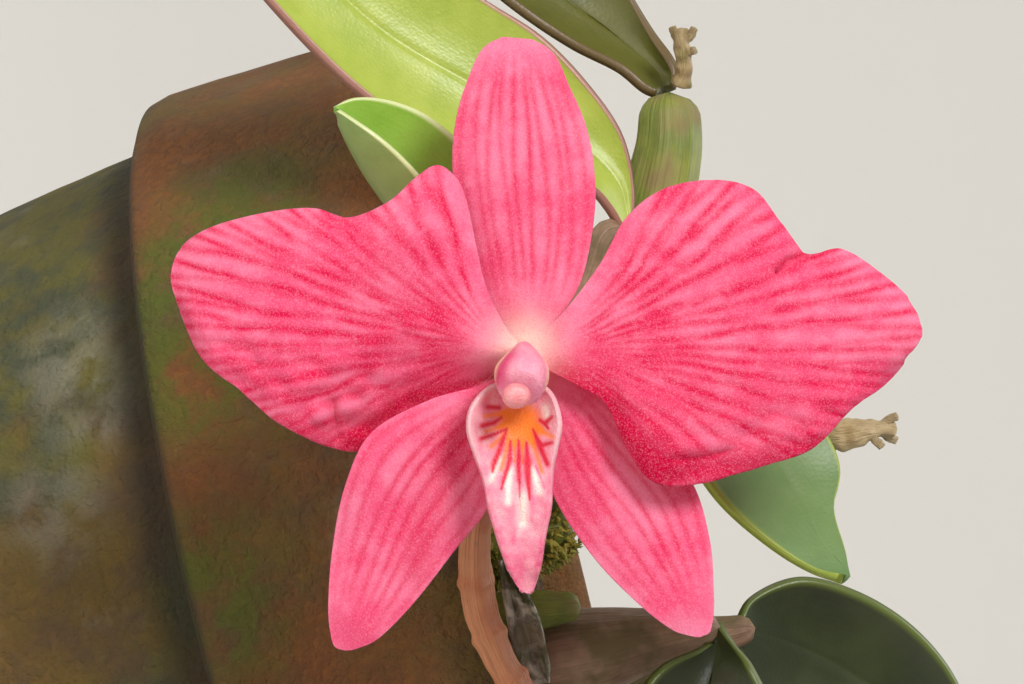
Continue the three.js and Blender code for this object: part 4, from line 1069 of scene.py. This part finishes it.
# %% Growth finishes
def growth_finish(name, main, pale, dry, dry_low, dry_high):
    """Green or papery skin with long fibres, and dry patches of old sheath."""
    material, tree, shader, place = finish(name, 0.55)
    uv = place.node.outputs["UV"]
    skin = mixed(tree, cloudy(tree, place, 150.0, 0.35, 0.65), main, pale)
    streak = use(tree, lines, "Streak", Vector=uv, Lines=46.0, Streaks=4.0)
    husk = cloudy(tree, place, 110.0, dry_low, dry_high)
    skin = mixed(tree, husk, skin, dry)
    skin = mixed(tree, ranged(tree, streak, 0.48, 0.72, 0, 0.28), skin, "#5E4A38")
    tree.links.new(ranged(tree, husk, 0, 1, 0.45, 0.8), shader.inputs["Roughness"])
    painted(tree, shader, skin, streak, 0.35)
    return material


green_skin = growth_finish("bulb_green_skin", "#6A7A2A", "#8A9238", "#8E7C52", 0.5, 0.74)
dry_skin = growth_finish("bulb_dry_skin", "#866650", "#A6886C", "#6E6040", 0.44, 0.62)
stem_skin = growth_finish("stem_red_skin", "#B8683E", "#D08C62", "#9A8A66", 0.5, 0.58)
root_skin = growth_finish("root_silver_skin", "#B9B7A4", "#D0CFC2", "#8F9A70", 0.58, 0.66)
SKINS = {"green": ("bulb_green", green_skin), "dry": ("bulb_papery", dry_skin)}

print("skins", list(SKINS))

# %% Growth pieces
for i, (name, (path, radii, skin)) in enumerate(GROWTHS.items()):
    slot, material = SKINS[skin]
    bulb = new_object(name, stem_mesh(pot_path(path), radii, 70, 40, furrows(7, 0.12, i)))
    dress(keep(bulb, slot, name), material)

# %% Rhizome and roots
rhizome_path = pot_path([(44, 26, 108.6), (35, 9, 109.6), (21, -13, 109.8), (17.5, -34, 109.6),
                         (2, -38, 109)])
rhizome = new_object("rhizome", stem_mesh(rhizome_path, [1.6, 2.1, 2.2, 2.1, 1.5], 110, 28,
                                          lambda t, a: 0.14 * math.sin(60 * t) + 0.08 * math.cos(5 * a)))
dress(keep(rhizome, "stem_brown", "rhizome"), stem_skin)
ROOTS = {
    "root_1": [(7, -31, 107.4), (-8, -22, 111.4), (-24, -16, 111.6), (-38, -4, 109.8), (-44, 8, 106.4)],
    "root_2": [(26, 8, 107.5), (10, 14, 111.6), (-6, 18, 111.6), (-20, 30, 109.6), (-26, 40, 106)],
}
for i, (name, path) in enumerate(ROOTS.items()):
    root = new_object(name, stem_mesh(pot_path(path), [1.0, 1.25, 1.2, 1.15, 0.9], 130, 20,
                                      furrows(3, 0.06, i + 20)))
    dress(keep(root, "root", name), root_skin)

# %% Flowering stem
lead_path = pot_path([(34, -33, 104), (32.5, -41, 115), (28.5, -51, 122), (23, -60, 123.4),
                      (15.5, -65.6, 121), (9, -67.3, 118.6), (2, -68, 117.5), (-2, -69.2, 118),
                      (-6, -71.2, 119.2), (-10, -73, 121), (-15.8, -75.6, 124.2), (-21.1, -76.6, 125.7)])
lead_radii = [1.3, 1.5, 1.6, 1.5, 1.75, 1.55, 1.8, 1.6, 1.75, 1.5, 1.4, 1.2]
BRACT_STARTS = [0.43, 0.55, 0.615, 0.672, 0.742, 0.85]


def ringed(t, angle):
    """Papery bracts: a raised ring where each one starts and loose creases between the rings."""
    creases = noise.noise(Vector((t * 60, math.cos(angle) * 1.4, math.sin(angle) * 1.4)))
    rings = sum(0.24 * hump(t, at, 0.006) for at in BRACT_STARTS)
    return 0.16 * creases + 0.07 * math.cos(5 * angle) + rings


lead = new_object("flowering_stem", stem_mesh(lead_path, lead_radii, 320, 48, ringed))
dress(keep(lead, "stem_brown", "flowering_stem"), stem_skin)
dress(ovary, stem_skin)

# %% [markdown]
# ## Dried flower stalks and the loose sheath
# Two bulbs still carry the dry stubs of past flowers, and a silvery film of sheath has come loose
# beside the flowering stem.

# %% Dried stalks
# The first path of each is the stalk itself, and the others are its stubs.
STALKS = {
    "dried_stalk_left": [
        [(16.7, 28.4, -46.2), (17.2, 30.0, -45.6), (17.0, 32.2, -45), (16.8, 34.6, -44.8)],
        [(17.0, 31.2, -45.4), (17.8, 32.0, -44.8), (18.5, 32.1, -44.4)],
        [(16.9, 32.8, -45), (17.8, 33.6, -44.6), (18.4, 34.6, -44.4)],
        [(16.9, 33.0, -45), (16.2, 34.0, -45.2), (16.0, 34.8, -45.4)]],
    "dried_stalk_right": [
        [(31.4, -8.8, -30.9), (33.9, -8.5, -30.2), (36.0, -8.1, -29.9), (38.5, -8.0, -29.6)],
        [(35.4, -8.2, -30), (36.2, -9.1, -29.4), (37.0, -9.9, -29)],
        [(36.8, -7.9, -29.8), (37.8, -7.0, -29.6), (38.6, -6.7, -29.4)],
        [(36.6, -7.9, -29.8), (37.6, -8.8, -30.4), (38.6, -9.2, -30.8)]],
}


def joined(name, meshes):
    """Several bmeshes as one object."""
    whole = bmesh.new()
    for bm in meshes:
        part = bpy.data.meshes.new("part")
        bm.to_mesh(part)
        bm.free()
        whole.from_mesh(part)
        bpy.data.meshes.remove(part)
    return new_object(name, whole)


husk_skin = growth_finish("dried_husk_skin", "#A58B5E", "#CFBB90", "#8A8448", 0.54, 0.7)
STALK_RADII = [[1.2, 0.95, 0.9, 0.7], [1.5, 1.7, 0.95, 0.7]]


def knobs(seed):
    return lambda t, angle: 0.3 * noise.noise(Vector((t * 7 + seed, math.cos(angle), math.sin(angle))))


for i, (name, paths) in enumerate(STALKS.items()):
    parts = [stem_mesh(bloom_path(paths[0]), STALK_RADII[i], 50, 28, knobs(i))]
    parts += [stem_mesh(bloom_path(path), [0.5, 0.45, 0.4], 20, 12, furrows(3, 0.08, i + 50))
              for path in paths[1:]]
    dress(keep(joined(name, parts), "dried", name), husk_skin)

# %% Loose sheath
sheath_rows = (
    [(-2.6, -21.4, -26.4), (-2.0, -25.4, -27.4), (-1.2, -30.0, -28.4), (0.2, -34.6, -29.0)],
    [(-2.2, -21.2, -27.4), (-0.8, -25.4, -28.8), (0.2, -30.0, -29.8), (1.2, -34.4, -30.4)],
    [(-1.8, -21.4, -27.0), (0.4, -25.0, -28.0), (2.1, -29.4, -29.0), (2.6, -34.2, -29.8)])
sheath = new_object("stem_sheath", draped(70, 30, leaf_surface(*[bloom_path(row) for row in sheath_rows],
                                                               0.6, 0.0, 0.9, 5.0)))
film, tree, shader, place = finish("silvery_film", 0.28, Transmission_Weight=0.3)
creased = cloudy(tree, place, 260.0, 0.42, 0.58, 8.0)
# The film's own colour is a silvery grey; it is painted lighter on the crests of its creases as painted
# highlight and darker in their hollows as painted shade.
grey = mixed(tree, creased, "#857B62", "#DDD7C4")
grey = mixed(tree, cloudy(tree, place, 150.0, 0.5, 0.6), grey, "#5E6636")
painted(tree, shader, grey, creased, 0.5)
dress(keep(thicken(sheath, 0.35), "dried", "stem_sheath"), film)

# %% [markdown]
# ## The clay pot
# A thrown pot with a deep rim band. Its profile is spun finely, and the finish carries what years
# of watering leave: green algae, moss under the rim and pale salts.

# %% Pot
POT_HEIGHT, RIM_HEIGHT, RIM_RADIUS = 118, 31, 63
RIM_FLARE, BODY_TOP, BODY_TAPER = math.radians(2), 57.5, math.radians(9)
RIM_WALL, BODY_WALL, BASE = 6.6, 6, 7
rim_foot = POT_HEIGHT - RIM_HEIGHT
rim_top = RIM_RADIUS + RIM_HEIGHT * math.tan(RIM_FLARE)
rim_inner = rim_top - RIM_WALL
shoulder = rim_foot + 6


def body_radius(z):
    return BODY_TOP - (rim_foot - z) * math.tan(BODY_TAPER)


outline = [
    (0, 0), (body_radius(0) - 1.5, 0), (body_radius(1.5), 1.5), (body_radius(rim_foot / 2), rim_foot / 2),
    (BODY_TOP, rim_foot - 0.4), (BODY_TOP + 0.6, rim_foot), (RIM_RADIUS - 2.2, rim_foot),
    (RIM_RADIUS - 0.5, rim_foot + 0.9), (RIM_RADIUS + 0.1, rim_foot + 3), (rim_top - 0.1, POT_HEIGHT - 4),
    (rim_top - 1, POT_HEIGHT - 1.4), (rim_top - 3, POT_HEIGHT), (rim_inner + 1.6, POT_HEIGHT),
    (rim_inner + 0.3, POT_HEIGHT - 1.2), (rim_inner, POT_HEIGHT - 4), (rim_inner - 0.4, shoulder + 2),
    (BODY_TOP - BODY_WALL, rim_foot - 3), (body_radius(BASE + 3) - BODY_WALL, BASE + 3),
    (body_radius(BASE) - BODY_WALL - 3, BASE), (0, BASE)]


def filled(points, step):
    """The same outline with a point at least every step."""
    rows = [points[0]]
    for (r0, z0), (r1, z1) in zip(points, points[1:]):
        parts = max(1, math.ceil(math.hypot(r1 - r0, z1 - z0) / step))
        rows += [(r0 + (r1 - r0) * k / parts, z0 + (z1 - z0) * k / parts) for k in range(1, parts + 1)]
    return rows


pot_bm = spun([(r * MM, z * MM) for r, z in filled(outline, 3.2)], 168)
for vert in pot_bm.verts:
    out = Vector((vert.co.x, vert.co.y, 0))
    if out.length > 20 * MM and 3 * MM < vert.co.z < (POT_HEIGHT - 0.5) * MM:
        wave = 0.22 * noise.noise(vert.co * 55) + 0.12 * noise.noise(Vector((0, 0, vert.co.z * 420)))
        vert.co += out.normalized() * wave * MM
pot = new_object("pot", pot_bm)
DRAIN_COUNT, DRAIN_CIRCLE, DRAIN_RADIUS = 3, 17, 4.5
drill_parts = []
for i in range(DRAIN_COUNT):
    angle = 2 * math.pi * (i + 0.25) / DRAIN_COUNT
    bm = bmesh.new()
    bmesh.ops.create_cone(bm, cap_ends=True, segments=40, radius1=DRAIN_RADIUS * MM,
                          radius2=DRAIN_RADIUS * MM, depth=3 * BASE * MM)
    spot = from_pot(DRAIN_CIRCLE * math.cos(angle), DRAIN_CIRCLE * math.sin(angle), BASE / 2)
    bmesh.ops.translate(bm, verts=bm.verts, vec=spot)
    drill_parts.append(bm)
drill = joined("drill", drill_parts)
cut = pot.modifiers.new("drain_holes", "BOOLEAN")
cut.object = drill
cut.operation = "DIFFERENCE"
cut.solver = "EXACT"
drilled = bpy.data.meshes.new_from_object(pot.evaluated_get(bpy.context.evaluated_depsgraph_get()))
pot.modifiers.clear()
pot.data = drilled
bpy.data.objects.remove(drill)
keep(pot, "clay", "pot")

# %% Weathered clay
MOSS_SPOTS = [(-45.7, -44.1, 100), (-41, -49, 96), (-38.2, -50.7, 91), (-29, -56, 93), (-6, -63, 90),
              (20, -60, 94)]
SALT_SPOTS = [(-29.9, -47.8, 80), (-35.3, -43.6, 78), (-18, -50, 74), (10, -52, 70)]
clay, tree, shader, place = finish("weathered_clay", 0.85)
fired = mixed(tree, cloudy(tree, place, 30.0, 0.35, 0.65), "#6A4019", "#885427")
fine = cloudy(tree, place, 900.0, 0.3, 0.7)
fired = mixed(tree, ranged(tree, fine, 0, 1, 0, 0.4), fired, "#5A3620")
height_up = make(tree, "SeparateXYZ", {0: place}).outputs[2]
band = rim_foot * MM
below = ranged(tree, height_up, band + 3 * MM, band - 3 * MM)
algae = cloudy(tree, place, 36.0, 0.42, 0.62, 8.0)
on_rim = times(tree, algae, 0.6)
on_body = ranged(tree, algae, 0, 1, 0.55, 0.95)
cover = make(tree, "Mix", {0: below, 2: on_rim, 3: on_body}, data_type="FLOAT").outputs[0]
grown = mixed(tree, cloudy(tree, place, 160.0, 0.35, 0.65), "#434A34", "#5F5C24")
fired = mixed(tree, cover, fired, grown)
salts = cloudy(tree, place, 90.0, 0.56, 0.72, 8.0)
fired = mixed(tree, times(tree, salts, ranged(tree, below, 0, 1, 0.15, 0.42)), fired, "#968F7C")
ragged = cloudy(tree, place, 220.0, 0.35, 0.6, 8.0)


def patch(centre, radius, tint, amount):
    """A ragged patch of growth or salts where the photograph shows one."""
    away = make(tree, "VectorMath", {0: place, 1: from_pot(*centre)}, operation="DISTANCE").outputs["Value"]
    share = times(tree, ranged(tree, away, radius * MM, 0.35 * radius * MM), ragged)
    return mixed(tree, times(tree, share, amount), fired, tint)


for spot in MOSS_SPOTS:
    fired = patch(spot, 12, "#525C14", 0.75)
for spot in SALT_SPOTS:
    fired = patch(spot, 9, "#8A8674", 0.4)
# Painted shadow: a dark band on the body just under the rim band, where the rim's shadow falls.
painted_rim_shadow = times(tree, ranged(tree, height_up, band - 7 * MM, band - 2 * MM),
             ranged(tree, height_up, band + 1.5 * MM, band + 0.2 * MM))
fired = mixed(tree, times(tree, painted_rim_shadow, 0.7), fired, "#1E160E")
painted(tree, shader, fired, plus(tree, fine, algae), 0.3)
dress(pot, clay)
print(len(MOSS_SPOTS), "moss and", len(SALT_SPOTS), "salt patches on the clay")

# %% [markdown]
# ## Bark mix and moss
# The plant grows in coarse bark. A domed ground is spun inside the pot, and some hundreds
# of chips lie on it, each a bevelled box knocked out of square.

# %% Bark ground
MIX_LEVEL, MIX_DOME, MIX_RADIUS, GAP = 109, 1.6, 56, 0.3
ground_outline = [
    (0, BASE + GAP), (body_radius(BASE) - BODY_WALL - 3.4, BASE + GAP),
    (body_radius(BASE + 3) - BODY_WALL - GAP, BASE + 3.3), (BODY_TOP - BODY_WALL - GAP, rim_foot - 3),
    (rim_inner - 0.4 - GAP, shoulder + 2.4), (rim_inner - 0.8, MIX_LEVEL - 1.5), (rim_inner - 5, MIX_LEVEL),
    (rim_inner * 0.5, MIX_LEVEL + 0.8 * MIX_DOME), (0, MIX_LEVEL + MIX_DOME)]
ground = spun([(r * MM, z * MM) for r, z in filled(ground_outline, 1.8)], 120)
for vert in ground.verts:
    if vert.co.z > (MIX_LEVEL - 1) * MM:
        vert.co.z += 0.9 * noise.noise(vert.co * 260) * MM
print("ground", len(ground.faces), "faces")


# %% Bark chips
def chip(place, size, draw):
    """A bevelled box knocked out of square and turned at random."""
    bm = bmesh.new()
    bmesh.ops.create_cube(bm, size=1)
    for vert in bm.verts:
        vert.co += Vector([draw.uniform(-0.16, 0.16) for _ in range(3)])
    bmesh.ops.bevel(bm, geom=list(bm.edges), offset=0.09, segments=1, profile=0.5, affect="EDGES",
                    material=-1)
    turn = Matrix.Rotation(draw.uniform(0, 6.28), 3, "Z") @ Matrix.Rotation(draw.uniform(-0.5, 0.5), 3, "X")
    turn = turn @ Matrix.Rotation(draw.uniform(-0.4, 0.4), 3, "Y")
    for vert in bm.verts:
        vert.co = Vector(place) * MM + turn @ Vector([c * s * MM for c, s in zip(vert.co, size)])
    return bm


CHIP_COUNT, CHIP_CIRCLE, CHIP_REACH, SMALL_CHIP = 330, 52.5, 56.5, (4.2, 3.4, 2.4)
GOLDEN_ANGLE = 2.39996
draw = random.Random(5)
chips = [ground]
for i in range(CHIP_COUNT):
    angle = i * GOLDEN_ANGLE
    radius = CHIP_CIRCLE * math.sqrt((i + 0.5) / CHIP_COUNT)
    size = (draw.uniform(5, 12), draw.uniform(3.4, 7), draw.uniform(1.8, 4.2))
    if radius + size[0] / 2 > CHIP_REACH:
        size = SMALL_CHIP
    level = MIX_LEVEL + MIX_DOME * (1 - (radius / MIX_RADIUS) ** 2) + draw.uniform(-0.4, 1.6)
    chips.append(chip((radius * math.cos(angle), radius * math.sin(angle), level), size, draw))
mix = keep(joined("potting_mix", chips), "bark", "potting_mix")

# %% Bark finish
bark, tree, shader, place = finish("bark_brown", 0.92)
brown = mixed(tree, cloudy(tree, place, 90.0, 0.35, 0.65), "#4A3524", "#7A5B40")
brown = mixed(tree, cloudy(tree, place, 420.0, 0.5, 0.68), brown, "#2C2018")
brown = mixed(tree, cloudy(tree, place, 60.0, 0.6, 0.68), brown, "#66702E")
painted(tree, shader, brown, cloudy(tree, place, 600.0, 0.3, 0.7), 0.5)
dress(mix, bark)
print("chips", CHIP_COUNT)


# %% Moss tufts
def tuft(place, out, size, draw):
    """A tiny moss plant: a cone of few faces that leans at random."""
    bm = bmesh.new()
    bmesh.ops.create_cone(bm, cap_ends=False, segments=5, radius1=size * 0.32 * MM, radius2=0.02 * MM,
                          depth=size * MM)
    lean = (Vector(out) + Vector([draw.uniform(-0.7, 0.7) for _ in range(3)])).normalized()
    turn = lean.to_track_quat("Z", "Y").to_matrix()
    for vert in bm.verts:
        vert.co = Vector(place) + turn @ (vert.co + Vector((0, 0, size * 0.35 * MM)))
    return bm


MOUND_COUNT, MOUND_TUFTS, MOUND_SIZE = 6, 150, Vector((6.4, 5.8, 4.0))
BULB_TUFTS, BULB_CENTRE, BULB_SIZE = 1100, Vector((-4.0, -45.2, 119)), Vector((5.0, 5.0, 9.5))
moss_parts = []
for i in range(MOUND_COUNT):
    angle = 2.2 + i * 0.62
    radius = 30 + 17 * draw.random()
    spot = Vector((radius * math.cos(angle), radius * math.sin(angle), MIX_LEVEL + 1))
    for _ in range(MOUND_TUFTS):
        way = Vector((draw.gauss(0, 1), draw.gauss(0, 1), abs(draw.gauss(0, 1)))).normalized()
        moss_parts.append(tuft((spot + way * MOUND_SIZE) * MM, way, draw.uniform(0.8, 1.7), draw))
for _ in range(BULB_TUFTS):
    way = Vector((draw.gauss(0, 1), draw.gauss(0, 1), draw.gauss(0, 0.7))).normalized()
    point = BULB_CENTRE + way * BULB_SIZE * (1 + 0.06 * noise.noise(way * 4))
    moss_parts.append(tuft(point * MM, way, draw.uniform(0.6, 1.2), draw))
moss = keep(joined("moss_tufts", moss_parts), "bark")
moss_green, tree, shader, place = finish("moss_green", 0.8)
leafy = mixed(tree, cloudy(tree, place, 250.0, 0.3, 0.7), "#6A741C", "#B4A648")
painted(tree, shader, leafy, use(tree, grain, "Dome", Vector=place, Scale=3000.0), 0.1)
dress(moss, moss_green)
print(len(moss_parts), "tufts")
